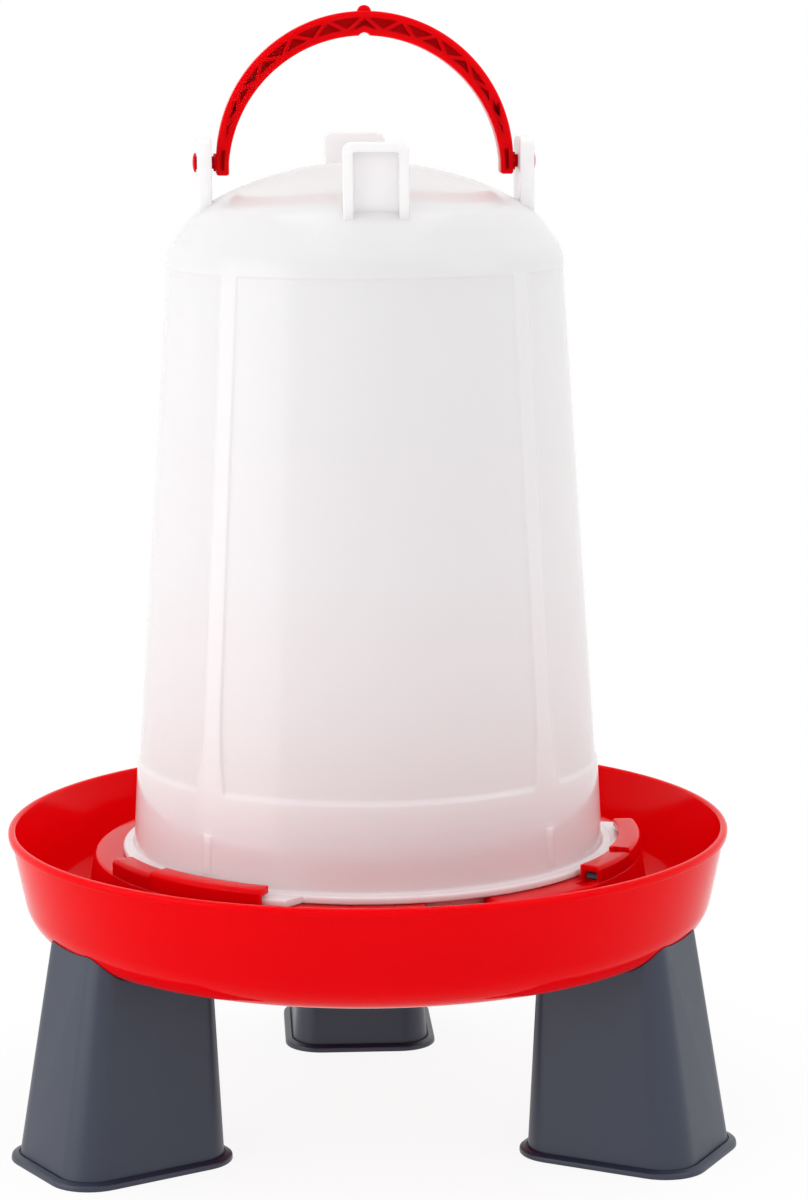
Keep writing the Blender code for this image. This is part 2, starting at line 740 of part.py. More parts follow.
def bail_inner_r(angle):
    """Distance from the pin's axis to the bail's inner edge, at an angle from upright; the notch is at 0."""
    aside = BAIL_OFFSET * math.sin(angle)
    share = min(1.0, abs(math.sin(angle)) * BAIL_INNER_R / NOTCH_R)
    arc_r = math.sqrt(BAIL_INNER_R**2 - aside**2) - BAIL_OFFSET * math.cos(angle)
    return arc_r + NOTCH_DEPTH * (1 - share**2)


def on_bail(angle, radius):
    return (radius * math.sin(angle), radius * math.cos(angle))


def truss_pockets():
    """Outlines of the bays between the zigzag ribs, on both sides of the apex."""
    step = math.radians(TRUSS_PITCH / 2)
    outer = BAIL_R - BAIL_RIM
    bays = []
    for i in range(-2 * TRUSS_BAYS, 2 * TRUSS_BAYS + 1):
        if i % 2:
            rim = [on_bail((i + k) * step, outer) for k in (-1, 0, 1)]
            tip = on_bail(i * step, bail_inner_r(i * step) + BAIL_RIM)
        else:
            rim = [on_bail((i - k) * step, bail_inner_r((i - k) * step) + BAIL_RIM) for k in (-1, 0, 1)]
            tip = on_bail(i * step, outer)
        bays.append(inset_outline([*rim, tip], RIB_T / 2))
    return bays


def slot_outline(side):
    """Outline of the plain slot between the last rib and the bail's end."""
    first = math.radians(TRUSS_PITCH / 2) * (2 * TRUSS_BAYS + 1) + RIB_T / BAIL_R
    last = math.radians(90) + (BAIL_DROP - BAIL_RIM) / BAIL_R
    outer = []
    inner = []
    for k in range(3):
        angle = first + (last - first) * k / 2
        outer.append(on_bail(angle, BAIL_R - BAIL_RIM))
        inner.append(on_bail(angle, bail_inner_r(angle) + BAIL_RIM))
    return [(side * x, z) for x, z in outer + inner[::-1]]


def bail_outline():
    """The bail's outline about the pin's axis: the outer arc, the ends, and the inner arc."""
    angles = [math.radians(-90 + 180 * k / BAIL_STEPS) for k in range(BAIL_STEPS + 1)]
    notch = math.asin(NOTCH_R / BAIL_INNER_R)
    inner_angles = [angle for angle in angles if abs(angle) > 1.2 * notch]
    inner_angles = sorted(inner_angles + [notch * share for share in (-1, -0.6, 0, 0.6, 1)])
    outer = [on_bail(angle, BAIL_R) for angle in angles]
    inner = [on_bail(angle, bail_inner_r(angle)) for angle in inner_angles]
    end = inner[-1][0]
    low_z = -BAIL_DROP
    right = [
        (BAIL_R, low_z + BAIL_CORNER),
        (BAIL_R - BAIL_CORNER, low_z),
        (end + BAIL_CORNER, low_z),
        (end, low_z + BAIL_CORNER),
    ]
    left = [(-x, z) for x, z in reversed(right)]
    return outer + right + inner[::-1] + left


def stepped_stud(number, side):
    """The boss, stud and dome head at one end of the bail."""
    ear_in = FOOT_INNER_R - GAP
    ear_out = FOOT_OUTER_R + GAP
    boss_end = BAIL_R + (ear_in - BAIL_R) * BOSS_SHARE
    stations = [
        (BAIL_R - BAIL_RIM / 2, BOSS_R),
        (boss_end, BOSS_R),
        (boss_end, STUD_R),
        (ear_out, STUD_R),
    ]
    for share, width in HEAD_STEPS:
        stations.append((ear_out + share * HEAD_T, width * HEAD_R))
    sections = [[(side * x, y, z) for y, z in circle(radius, 0)] for x, radius in stations]
    return lofted(f"stud {number}", sections)


def make_handle(material):
    outline = bail_outline()
    half = BAIL_DEPTH / 2
    sections = []
    for y, inset in ((-half, EDGE), (EDGE - half, 0), (half - EDGE, 0), (half, EDGE)):
        sections.append([(x, y, z) for x, z in inset_outline(outline, inset)])
    handle = lofted("handle", sections, material)
    for number, side in enumerate((-1, 1), 1):
        combine(handle, stepped_stud(number, side), "UNION")
    knob = circle(KNOB_R, BAIL_R - KNOB_SINK)
    combine(handle, extruded("knob", knob, -KNOB_R, KNOB_R), "UNION")
    bays = truss_pockets() + [slot_outline(-1), slot_outline(1)]
    for side in (-1, 1):
        depths = sorted((side * BAIL_WEB / 2, side * (half + OVERCUT)))
        for number, bay in enumerate(bays):
            combine(handle, extruded(f"bay {side} {number}", bay, *depths), "DIFFERENCE")
    return handle


def leg_section(height, inset=0.0, grow=0.0):
    """The leg's (radial, sideways) outline at one height, set in by a wall or grown by its flange."""
    share = height / LEG_HEIGHT
    change = grow - inset
    outer = LEG_OUTER_R + (LEG_TOP_OUTER_R - LEG_OUTER_R) * share + change
    inner = outer - LEG_LENGTH + (LEG_LENGTH - LEG_TOP_LENGTH) * share - 2 * change
    half = LEG_HALF_WIDTH + (LEG_TOP_HALF_WIDTH - LEG_HALF_WIDTH) * share + change
    corner = LEG_CORNER + (LEG_TOP_CORNER - LEG_CORNER) * share + change
    inner_corner = LEG_INNER_CORNER + (LEG_TOP_INNER_CORNER - LEG_INNER_CORNER) * share + change
    corner = max(corner, SMALL_ARC)
    inner_corner = max(inner_corner, SMALL_ARC)
    return rounded([
        (inner, -half, inner_corner),
        (outer, -half, corner),
        (outer, half, corner),
        (inner, half, inner_corner),
    ])


def stacked(name, azimuth, levels, material=None):
    """A leg-shaped solid through several (height, inset, grow) levels, at an azimuth."""
    sections = []
    for height, inset, grow in levels:
        flat = leg_section(height, inset, grow)
        sections.append([along_azimuth(azimuth, radial, u, height) for radial, u in flat])
    return lofted(name, sections, material)


def tray_envelope(name, gap):
    """The tray's outer form, grown by a gap, as a cutter for what fits under it."""
    under = LEG_HEIGHT - gap
    above = RIM_Z + OVERCUT
    return turned(name, rounded([
        (0, above, 0),
        (tray_wall_r(above) + gap, above, 0),
        (tray_wall_r(under) + gap, under, TRAY_CORNER + gap),
        (ring_wall_r(under) - TRAY_WALL, under, 0),
        (0, under, 0),
    ]))


def prong(name, azimuth, side):
    """One snap prong: a bar up through the hollow ring, with a barb that points into the block's window."""
    outer = PRONG_REACH
    inner = outer - PRONG_T
    base_z = LEG_HEIGHT - GAP - LEG_WALL / 2
    sill_z = RING_Z + WINDOW_SILL
    top_z = sill_z + WINDOW_HEIGHT - GAP
    outline = [
        (inner, base_z),
        (outer, base_z),
        (outer, sill_z + GAP),
        (outer + PRONG_BARB, sill_z + 2 * GAP),
        (outer, top_z),
        (inner, top_z),
    ]
    return plate(name, [(side * u, z) for u, z in outline], azimuth, PRONG_IN_R, PRONG_OUT_R)


def make_leg(name, azimuth, material, under, under_inside):
    top = RIM_Z - TRAY_DEPTH / 2
    sole = LEG_FLANGE_T
    levels = [(0, 0, LEG_FLANGE), (sole, 0, LEG_FLANGE), (sole + EDGE / 2, 0, 0), (top, 0, 0)]
    leg = stacked(name, azimuth, levels, material)
    core = stacked(f"{name} core", azimuth, [(-OVERCUT, LEG_WALL, 0), (top + OVERCUT, LEG_WALL, 0)])
    combine(core, under_inside, "DIFFERENCE")
    combine(leg, under, "DIFFERENCE")
    combine(leg, core, "DIFFERENCE")
    for number, side in enumerate((-1, 1), 1):
        combine(leg, prong(f"{name} prong {number}", azimuth, side), "UNION")
    return leg


def make_legs(material):
    under = tray_envelope("tray envelope", GAP)
    under_inside = tray_envelope("tray envelope inside", GAP + LEG_WALL)
    for name, azimuth in zip(("leg_front_right", "leg_rear", "leg_front_left"), LEG_AZIMUTHS):
        make_leg(name, azimuth, material, under, under_inside)


def empty(name, place, turn=0.0):
    """An empty that carries pieces drawn about its own origin."""
    obj = bpy.data.objects.new(name, None)
    obj.location = place
    obj.rotation_euler.z = math.radians(turn)
    bpy.context.scene.collection.objects.link(obj)
    return obj


def adopt(carrier):
    """Parents every object that has no parent yet to an empty."""
    for obj in bpy.data.objects:
        if obj.parent is None and obj.type == "MESH":
            obj.parent = carrier


def main():
    clear_scene()
    red = plastic("red plastic", (0.72, 0.004, 0.008), 0.28)
    white = plastic("milky plastic", (0.90, 0.89, 0.90), 0.35, alpha=0.8)
    grey = plastic("grey plastic", (0.055, 0.060, 0.075), 0.45)

    axis = empty("axis", (0, FOOTPRINT_SHIFT, 0))
    make_tray(red)
    make_reservoir(white)
    make_legs(grey)
    adopt(axis)

    pivot = empty("handle pivot", (0, 0, PIN_Z), BELL_TURN)
    pivot.parent = axis
    make_handle(red)
    adopt(pivot)


main()
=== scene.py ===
"""The looks of the poultry drinker: its six mouldings in fine meshes, plastics, light and camera.

Sizes are metres and +Z is up. An azimuth, in degrees, starts at the front (-Y) and grows towards
the right (+X). Each piece is drawn about the drinker's upright axis, and then moved to where the
frame's twist joint has it.
"""

import json
import math

import bmesh
import bpy
from mathutils import Matrix, Vector


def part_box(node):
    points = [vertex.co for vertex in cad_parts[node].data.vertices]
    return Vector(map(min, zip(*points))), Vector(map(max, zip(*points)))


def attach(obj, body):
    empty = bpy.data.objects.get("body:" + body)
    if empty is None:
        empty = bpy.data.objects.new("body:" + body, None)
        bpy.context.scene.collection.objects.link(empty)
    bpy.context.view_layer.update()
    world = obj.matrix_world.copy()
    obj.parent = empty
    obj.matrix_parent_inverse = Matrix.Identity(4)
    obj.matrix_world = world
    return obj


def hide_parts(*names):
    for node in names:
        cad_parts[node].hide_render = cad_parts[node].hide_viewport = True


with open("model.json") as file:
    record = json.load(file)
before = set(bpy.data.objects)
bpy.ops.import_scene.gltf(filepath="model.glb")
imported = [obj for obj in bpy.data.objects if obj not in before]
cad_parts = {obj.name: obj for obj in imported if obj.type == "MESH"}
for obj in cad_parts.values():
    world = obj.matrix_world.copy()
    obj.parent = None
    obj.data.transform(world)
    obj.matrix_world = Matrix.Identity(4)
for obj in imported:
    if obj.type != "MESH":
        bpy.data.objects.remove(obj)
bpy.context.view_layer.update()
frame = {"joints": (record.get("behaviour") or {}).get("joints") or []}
joints = {joint["name"]: joint for joint in frame["joints"]}
tray_low, tray_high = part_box("tray")

# Places that the frame gives
AXIS = Vector((*joints["reservoir_twist"]["pos_m"][:2], 0))
PIN_AXIS = joints["handle_swing"]["axis"]
PIN_Z = joints["handle_swing"]["pos_m"][2]
BELL_TURN = math.degrees(math.atan2(PIN_AXIS[1], PIN_AXIS[0]))
LEG_HEIGHT = tray_low.z
RIM_Z = tray_high.z
RIM_R = tray_high.x
RING_Z = joints["reservoir_twist"]["pos_m"][2]

# Clearances, as the CAD has them
GAP = 0.0003
SLIDE_GAP = 0.0006
LIP_GAP = 0.0008
TURN_GAP = 0.0003
SKIRT_GAP = 0.0040
CLIP_GAP = 0.0029
EAR_SPACE = 0.0023

# Reservoir's wall
BELL_WALL = 0.0024
BAND_R = 0.1172
BAND_HEIGHT = 0.0416
BAND_TAPER = 0.0023
BARREL_HEIGHT = 0.2944
BARREL_TAPER = 0.0175
SHOULDER_CONE = 54.0
BROW_INSET = 0.0139
DOME_RISE = 0.0431
DOME_HEIGHT = 0.0243
KNEE_FILLET = 0.0220
BROW_FILLET = 0.0280

# Panels and the pilasters between them
PANEL_RECESS = 0.0011
PANEL_MARGIN = 0.0069
PANEL_EDGE = 0.0016
LEDGE_DROP = 0.0005
LEDGE_RISE = 0.0030
PILASTER_HALF = 0.0046
PILASTER_FLARE = 0.0042
FLARE_HEIGHT = 0.0450
FLARE_CURVE = 2.4
RIB_HALF = 0.0019
RIB_EDGE = 0.0003
RIB_RELIEF = 0.0007
RIB_START = 0.0026
RIB_SHARE = 0.52
RIB_FADE = 4 * RIB_EDGE
# The rib's side: RIB_EDGEs outside its half width, and the share of its relief there
RIB_SIDE = ((3, 0), (1, 0.75), (-1, 1))

# Reservoir's flange, lugs and skirt
FLANGE_REACH = 0.0055
FLANGE_T = 0.0036
SKIRT_INSET = 0.0017
SKIRT_DROP = 0.0120
SKIRT_TAPER = 0.0008
LUG_REACH = 0.0098
LUG_SPAN = 35.0
LUG_LEAN = 2.7
FLANGE_FILLET = 0.00128
FLANGE_ROOT = 0.0016

# Feet on the dome
FOOT_T = 0.0070
FOOT_WIDTH = 0.0308
FOOT_RISE = 0.0116
FOOT_FLANGE = 0.0047
FOOT_WEB = 0.0028
FOOT_CORNER = 0.0040

# Tray
TRAY_WALL = 0.0027
TRAY_SLOPE = 0.202
TRAY_CORNER = 0.0236
BEAD_REACH = 0.0009
BEAD_DEPTH = 0.0040
BEAD_DRAFT = 0.0002
BEAD_FILLET = 0.0018

# Pedestal ring
RING_SLOPE = 0.18
RING_INNER_SLOPE = 0.03
RING_FILLET = 0.0018
ROOT_FILLET = 0.0030
BASIN_RISE = 0.0060

# Bayonet clips
LEG_AZIMUTH = 60.0
BLOCK_SPAN = 16.5
HOOK_SPAN = 27.5
BLOCK_STEP = 0.0015
HOOK_WALL = 0.0038
LIP_T = 0.0040
CLIP_FILLET = 0.0025
CLIP_WALL = 0.0018
WINDOW_SILL = 0.0004
WINDOW_HEIGHT = 0.0040
SLOT_WIDTH = 0.0020
RAMP_LENGTH = 0.0100
RAMP_DEPTH = 0.0011

# Water port
PORT_START = 9.6
PORT_SPAN = 15.2
PORT_DEPTH = 0.0230
PORT_SLANT = 0.0053
PORT_SLANT_DEPTH = 0.0036
PORT_FILLET = 0.0034

# Handle
BAIL_R = 0.0723
BAIL_BAND = 0.0060
BAIL_OFFSET = 0.0058
BAIL_DEPTH = 0.0130
BAIL_DROP = 0.0062
BAIL_RIM = 0.0023
BAIL_WEB = 0.0022
BAIL_CORNER = 0.0012
CORNER_EASE = 0.3
TRUSS_PITCH = 15.2
TRUSS_BAYS = 5
RIB_T = 0.0020
KNOB_R = 0.0034
KNOB_SINK = 0.0006
NOTCH_R = 0.0032
NOTCH_DEPTH = 0.0015
STUD_R = 0.0031
BOSS_R = 0.00435
BOSS_SHARE = 0.6
HEAD_R = 0.0047
HEAD_T = 0.0018
HEAD_SIDE = 0.3

# Legs
LEG_REACH = 0.0072
LEG_LENGTH = 0.0874
LEG_TOP_REACH = -0.0088
LEG_TOP_LENGTH = 0.0669
LEG_HALF_WIDTH = 0.0365
LEG_TOP_HALF_WIDTH = 0.0280
LEG_CORNER = 0.0178
LEG_TOP_CORNER = 0.0113
LEG_INNER_CORNER = 0.0160
LEG_TOP_INNER_CORNER = 0.0072
LEG_LEAST_CORNER = 0.0040
LEG_WALL = 0.0024
LEG_FLANGE = 0.0040
LEG_FLANGE_T = 0.0029
PRONG_T = 0.0030
PRONG_WIDTH = 0.0056
PRONG_BARB = 0.0022
PRONG_SPACE = 0.0002
PRONG_ROOM = 0.0006

# Small edges, how far a cutter passes the face it cuts, and how far a joined shape sinks in
EDGE = 0.0008
OVERCUT = 0.0020
SINK = 0.0002

# Fineness: facets, rows of points, and the degrees in a facet of an arc below a radius
TURN_STEPS = 224
BORE_STEPS = 48
SWEEP_STEP = 1.2
ARC_STEPS = ((0.0012, 24), (0.0060, 15), (math.inf, 6))
EASE_ANGLES = (0, 30, 60, 90)
RAMP_STEPS = 16
PANEL_BAYS = 44
PANEL_EDGE_STEPS = 4
RIB_FADE_ROWS = 4
RIB_ROWS = 5
BAND_ROWS = 5
LEDGE_ROWS = 8
FLARE_ROWS = 16
PANEL_ROWS = 24
PANEL_TOP_ROWS = 5
DOME_ROWS = 22
INNER_PANEL_ROWS = 12
INNER_DOME_ROWS = 14
BAIL_STEPS = 120
NOTCH_STEPS = 6
SLOT_STEPS = 8
HEAD_STEPS = 8
LEG_CORNER_STEPS = 10
SMOOTH_ANGLE = 28.0

# Limits of the mesh work
MERGE = 1e-7  # points this near are one
ON_AXIS = 1e-6  # points this near the axis are on it
SIDE_SHARE = 0.85  # the most of a side that a corner's arc takes
DOME_SHARE = 0.92  # where on the brow's radius the dome's points start
EVEN_R = 0.050  # inside it the shell's columns run straight
NOTCH_CLEAR = 1.2  # how far the bail's arc keeps from its notch

# Radii and heights worked out from the sizes above
SKIRT_R = BAND_R - SKIRT_INSET
FLANGE_R = BAND_R + FLANGE_REACH
LEDGE_R = BAND_R - BAND_TAPER
SHOULDER_R = LEDGE_R - BARREL_TAPER
BROW_R = SHOULDER_R - BROW_INSET
DOME_R = (BROW_R**2 + DOME_HEIGHT**2) / (2 * DOME_HEIGHT)
LUG_R = FLANGE_R + LUG_REACH
RING_INNER_R = SKIRT_R + SKIRT_GAP
RING_OUTER_R = LUG_R + SLIDE_GAP + HOOK_WALL
CLIP_INNER_R = FLANGE_R + CLIP_GAP
BAIL_INNER_R = BAIL_R - BAIL_BAND
FOOT_INNER_R = BAIL_R + EAR_SPACE
FOOT_OUTER_R = FOOT_INNER_R + FOOT_T
LEG_OUTER_R = RIM_R + LEG_REACH
LEG_TOP_OUTER_R = RIM_R + LEG_TOP_REACH
TROUGH_Z = LEG_HEIGHT + TRAY_WALL
FLANGE_Z = RING_Z + GAP
BAND_Z = FLANGE_Z + FLANGE_T
LEDGE_Z = BAND_Z + BAND_HEIGHT
RIB_LOW_Z = BAND_Z + RIB_START
RIB_HIGH_Z = BAND_Z + RIB_SHARE * BAND_HEIGHT + 3 * RIB_EDGE
PANEL_TOP_Z = BAND_Z + BARREL_HEIGHT - PANEL_MARGIN
APEX_Z = BAND_Z + BARREL_HEIGHT + DOME_RISE
BROW_Z = APEX_Z - DOME_HEIGHT
FOOT_Z = APEX_Z + FOOT_RISE
HOOK_Z = BAND_Z + LIP_GAP + LIP_T
BLOCK_Z = HOOK_Z - BLOCK_STEP

# Where the clips stand, and the prongs of the legs inside the clips' blocks
LEG_AZIMUTHS = (LEG_AZIMUTH, LEG_AZIMUTH + 120, LEG_AZIMUTH + 240)
CLIP_AZIMUTHS = tuple(azimuth - BLOCK_SPAN / 2 for azimuth in LEG_AZIMUTHS)
HOLLOW_OUT_R = RING_OUTER_R + RING_SLOPE * TRAY_WALL - TRAY_WALL
SOCKET_END = math.degrees(CLIP_WALL / CLIP_INNER_R)
PRONG_REACH = CLIP_INNER_R * math.sin(math.radians(BLOCK_SPAN / 2 - SOCKET_END)) - GAP
PRONG_OUT_R = math.sqrt((HOLLOW_OUT_R - PRONG_SPACE) ** 2 - PRONG_REACH**2)
PRONG_IN_R = PRONG_OUT_R - PRONG_WIDTH
PRONG_MIDDLE_R = (PRONG_IN_R + PRONG_OUT_R) / 2
SOCKET_OUT_R = math.hypot(PRONG_OUT_R, PRONG_REACH + PRONG_BARB) + PRONG_ROOM
SOCKET_IN_R = PRONG_IN_R - PRONG_ROOM


# Mesh tools


def placed(name, data):
    """A new object in the scene."""
    obj = bpy.data.objects.new(name, data)
    bpy.context.scene.collection.objects.link(obj)
    return obj


def solid(name, bm):
    """Makes an object of the closed shape in bm, with its faces turned outwards."""
    bmesh.ops.remove_doubles(bm, verts=bm.verts, dist=MERGE)
    bmesh.ops.recalc_face_normals(bm, faces=bm.faces)
    if bm.calc_volume(signed=True) < 0:
        bmesh.ops.reverse_faces(bm, faces=bm.faces)
    mesh = bpy.data.meshes.new(name)
    bm.to_mesh(mesh)
    bm.free()
    return placed(name, mesh)


def combine(obj, other, operation):
    """Applies a Boolean of obj with other, and removes other.

    The manifold solver is used, because the exact one loses the bail at its second pocket.
    """
    modifier = obj.modifiers.new(operation, "BOOLEAN")
    modifier.operation = operation
    modifier.solver = "MANIFOLD"
    modifier.object = other
    graph = bpy.context.evaluated_depsgraph_get()
    graph.update()
    result = bpy.data.meshes.new_from_object(obj.evaluated_get(graph))
    obj.modifiers.clear()
    old = obj.data
    obj.data = result
    result.name = obj.name
    bpy.data.meshes.remove(old)
    bpy.data.objects.remove(other)


def arc_step(radius):
    """Degrees in one facet of an arc."""
    return next(step for below, step in ARC_STEPS if radius < below)


def rounded(corners):
    """Turns (x, y, radius) corners into outline points, with an arc in each corner."""
    points = []
    count = len(corners)
    for i, (x, y, radius) in enumerate(corners):
        here = Vector((x, y))
        if radius <= 0:
            points.append(here)
            continue
        before = Vector(corners[i - 1][:2]) - here
        after = Vector(corners[(i + 1) % count][:2]) - here
        half = before.angle(after) / 2
        reach = min(radius / math.tan(half), SIDE_SHARE * before.length, SIDE_SHARE * after.length)
        radius = reach * math.tan(half)
        inwards = (before.normalized() + after.normalized()).normalized()
        centre = here + inwards * radius / math.sin(half)
        start = here + before.normalized() * reach - centre
        end = here + after.normalized() * reach - centre
        sweep = start.angle_signed(end)
        steps = max(1, round(abs(sweep) / math.radians(arc_step(radius))))
        for k in range(steps + 1):
            turn = Matrix.Rotation(-sweep * k / steps, 2)
            points.append(centre + turn @ start)
    return [(p.x, p.y) for p in points]


def on_axis(azimuth):
    """The unit vector that points outwards at an azimuth."""
    angle = math.radians(azimuth)
    return Vector((math.sin(angle), -math.cos(angle), 0))


def along_azimuth(azimuth, radial, sideways, height):
    """The point this far out along an azimuth, and this far to its side."""
    out = on_axis(azimuth)
    side = Vector((-out.y, out.x, 0))
    return out * radial + side * sideways + Vector((0, 0, height))


def bridge(bm, rings, closed=False):
    """Joins rings of equally many points with quads, and the last ring to the first if closed."""
    pairs = list(zip(rings, rings[1:]))
    if closed:
        pairs.append((rings[-1], rings[0]))
    for low, high in pairs:
        for i in range(len(low)):
            corners = []
            for vert in (low[i - 1], low[i], high[i], high[i - 1]):
                if vert not in corners:
                    corners.append(vert)
            if len(corners) > 2:
                bm.faces.new(corners)


def turned(name, profile, steps=TURN_STEPS):
    """Revolves a closed profile of (radius, height) points about the axis."""
    bm = bmesh.new()
    rings = []
    for radius, height in profile:
        if radius < ON_AXIS:
            rings.append([bm.verts.new((0, 0, height))] * steps)
            continue
        around = [along_azimuth(360 * k / steps, radius, 0, height) for k in range(steps)]
        rings.append([bm.verts.new(p) for p in around])
    bridge(bm, rings, closed=profile[0][0] > ON_AXIS)
    return solid(name, bm)


def swept(name, section, start, end, lean=0.0):
    """Sweeps a (radius, height) section about the axis from one azimuth to another.

    With lean, the far end slants: it reaches lean degrees less at the section's largest radius.
    """
    steps = max(1, math.ceil((end - start) / SWEEP_STEP))
    low = min(r for r, _ in section)
    high = max(r for r, _ in section)
    sections = []
    for k in range(steps + 1):
        points = []
        for radius, height in section:
            far = end - lean * (radius - low) / (high - low)
            azimuth = start + (far - start) * k / steps
            points.append(along_azimuth(azimuth, radius, 0, height))
        sections.append(points)
    return lofted(name, sections)


def lofted(name, sections):
    """Joins closed sections, each a list of equally many points, into a capped solid."""
    bm = bmesh.new()
    rings = [[bm.verts.new(p) for p in section] for section in sections]
    bridge(bm, rings)
    bm.faces.new(rings[0])
    bm.faces.new(rings[-1])
    return solid(name, bm)


def extruded(name, outline, low_y, high_y):
    """Extrudes a list of (x, z) points between two depths."""
    return lofted(name, [[(x, y, z) for x, z in outline] for y in (low_y, high_y)])


def plate(name, outline, azimuth, low_r, high_r):
    """Extrudes a list of (sideways, z) points along an azimuth, between two radial distances."""
    sections = [[along_azimuth(azimuth, r, u, z) for u, z in outline] for r in (low_r, high_r)]
    return lofted(name, sections)


def eased_edge(edge):
    """(distance along, inset) steps that round the edge at one end of an extrusion."""
    angles = [math.radians(angle) for angle in EASE_ANGLES]
    return [(edge * (1 - math.cos(angle)), edge * (1 - math.sin(angle))) for angle in angles]


def both_ends(low, high):
    """(place, inset) steps between two places, with the edge rounded at both."""
    steps = [(low + distance, inset) for distance, inset in eased_edge(EDGE)]
    return steps + [(high - distance, inset) for distance, inset in reversed(eased_edge(EDGE))]


def inset_outline(points, distance, closed=True):
    """Moves each side of a clockwise outline inwards.

    An open outline's ends move square to their sides.
    """
    moved = []
    last = len(points) - 1
    for i, point in enumerate(points):
        here = Vector(point)
        normals = []
        for a, b in ((i - 1, i), (i, i + 1)):
            if closed or (a >= 0 and b <= last):
                side = (Vector(points[b % (last + 1)]) - Vector(points[a])).normalized()
                normals.append(Vector((side.y, -side.x)))
        if len(normals) == 1:
            moved.append(here + normals[0] * distance)
        else:
            both = normals[0] + normals[1]
            moved.append(here + both * distance / (1 + normals[0].dot(normals[1])))
    return [(p.x, p.y) for p in moved]


def box_section(low_r, high_r, low_z, high_z):
    """A rectangle as (radius, height) points."""
    return [(low_r, low_z), (high_r, low_z), (high_r, high_z), (low_r, high_z)]


# Tray


def tray_wall_r(height):
    """Outer radius of the tray's wall."""
    return RIM_R - BEAD_REACH - TRAY_SLOPE * (RIM_Z - height)


def ring_wall_r(height):
    """Outer radius of the pedestal ring."""
    return RING_OUTER_R + RING_SLOPE * (RING_Z - height)


def ring_bore_r(height):
    """Inner radius of the pedestal ring."""
    return RING_INNER_R - RING_INNER_SLOPE * (RING_Z - height)


def tray_profile():
    """The tray's section: its upper side from the basin to the beaded rim, then its underside."""
    basin_z = TROUGH_Z + BASIN_RISE
    hollow_z = RING_Z - TRAY_WALL
    bead_z = RIM_Z - BEAD_DEPTH
    bottom = LEG_HEIGHT
    return rounded([
        (0, basin_z, 0),
        (ring_bore_r(basin_z), basin_z, ROOT_FILLET),
        (RING_INNER_R, RING_Z, EDGE),
        (RING_OUTER_R, RING_Z, RING_FILLET),
        (ring_wall_r(TROUGH_Z), TROUGH_Z, ROOT_FILLET),
        (tray_wall_r(TROUGH_Z) - TRAY_WALL, TROUGH_Z, TRAY_CORNER - TRAY_WALL),
        (tray_wall_r(RIM_Z) - TRAY_WALL, RIM_Z, TRAY_WALL / 2),
        (RIM_R, RIM_Z, BEAD_FILLET),
        (RIM_R - BEAD_DRAFT, bead_z, EDGE),
        (tray_wall_r(bead_z), bead_z, 0),
        (tray_wall_r(bottom), bottom, TRAY_CORNER),
        (ring_wall_r(bottom) - TRAY_WALL, bottom, EDGE),
        (ring_wall_r(hollow_z) - TRAY_WALL, hollow_z, EDGE),
        (RING_INNER_R + TRAY_WALL, hollow_z, EDGE),
        (ring_bore_r(bottom) + TRAY_WALL, bottom, EDGE),
        (ring_bore_r(bottom) - TRAY_WALL, bottom, EDGE),
        (ring_bore_r(bottom) - TRAY_WALL - BASIN_RISE, basin_z - TRAY_WALL, EDGE),
        (0, basin_z - TRAY_WALL, 0),
    ])


def end_rounded(name, outline, start, end):
    """Sweeps an anticlockwise section about the axis, with its two end faces' edges rounded."""
    middle_r = sum(r for r, _ in outline) / len(outline)
    eased = [(math.degrees(distance / middle_r), inset) for distance, inset in eased_edge(EDGE)]
    low = start + eased[-1][0]
    high = end - (low - start)
    inner = max(2, math.ceil((end - start) / SWEEP_STEP))
    stations = [(start + turn, inset) for turn, inset in eased]
    stations += [(low + (high - low) * k / inner, 0) for k in range(1, inner)]
    stations += [(end - turn, inset) for turn, inset in reversed(eased)]
    sections = []
    for azimuth, inset in stations:
        flat = inset_outline(outline, -inset)
        sections.append([along_azimuth(azimuth, r, 0, z) for r, z in flat])
    return lofted(name, sections)


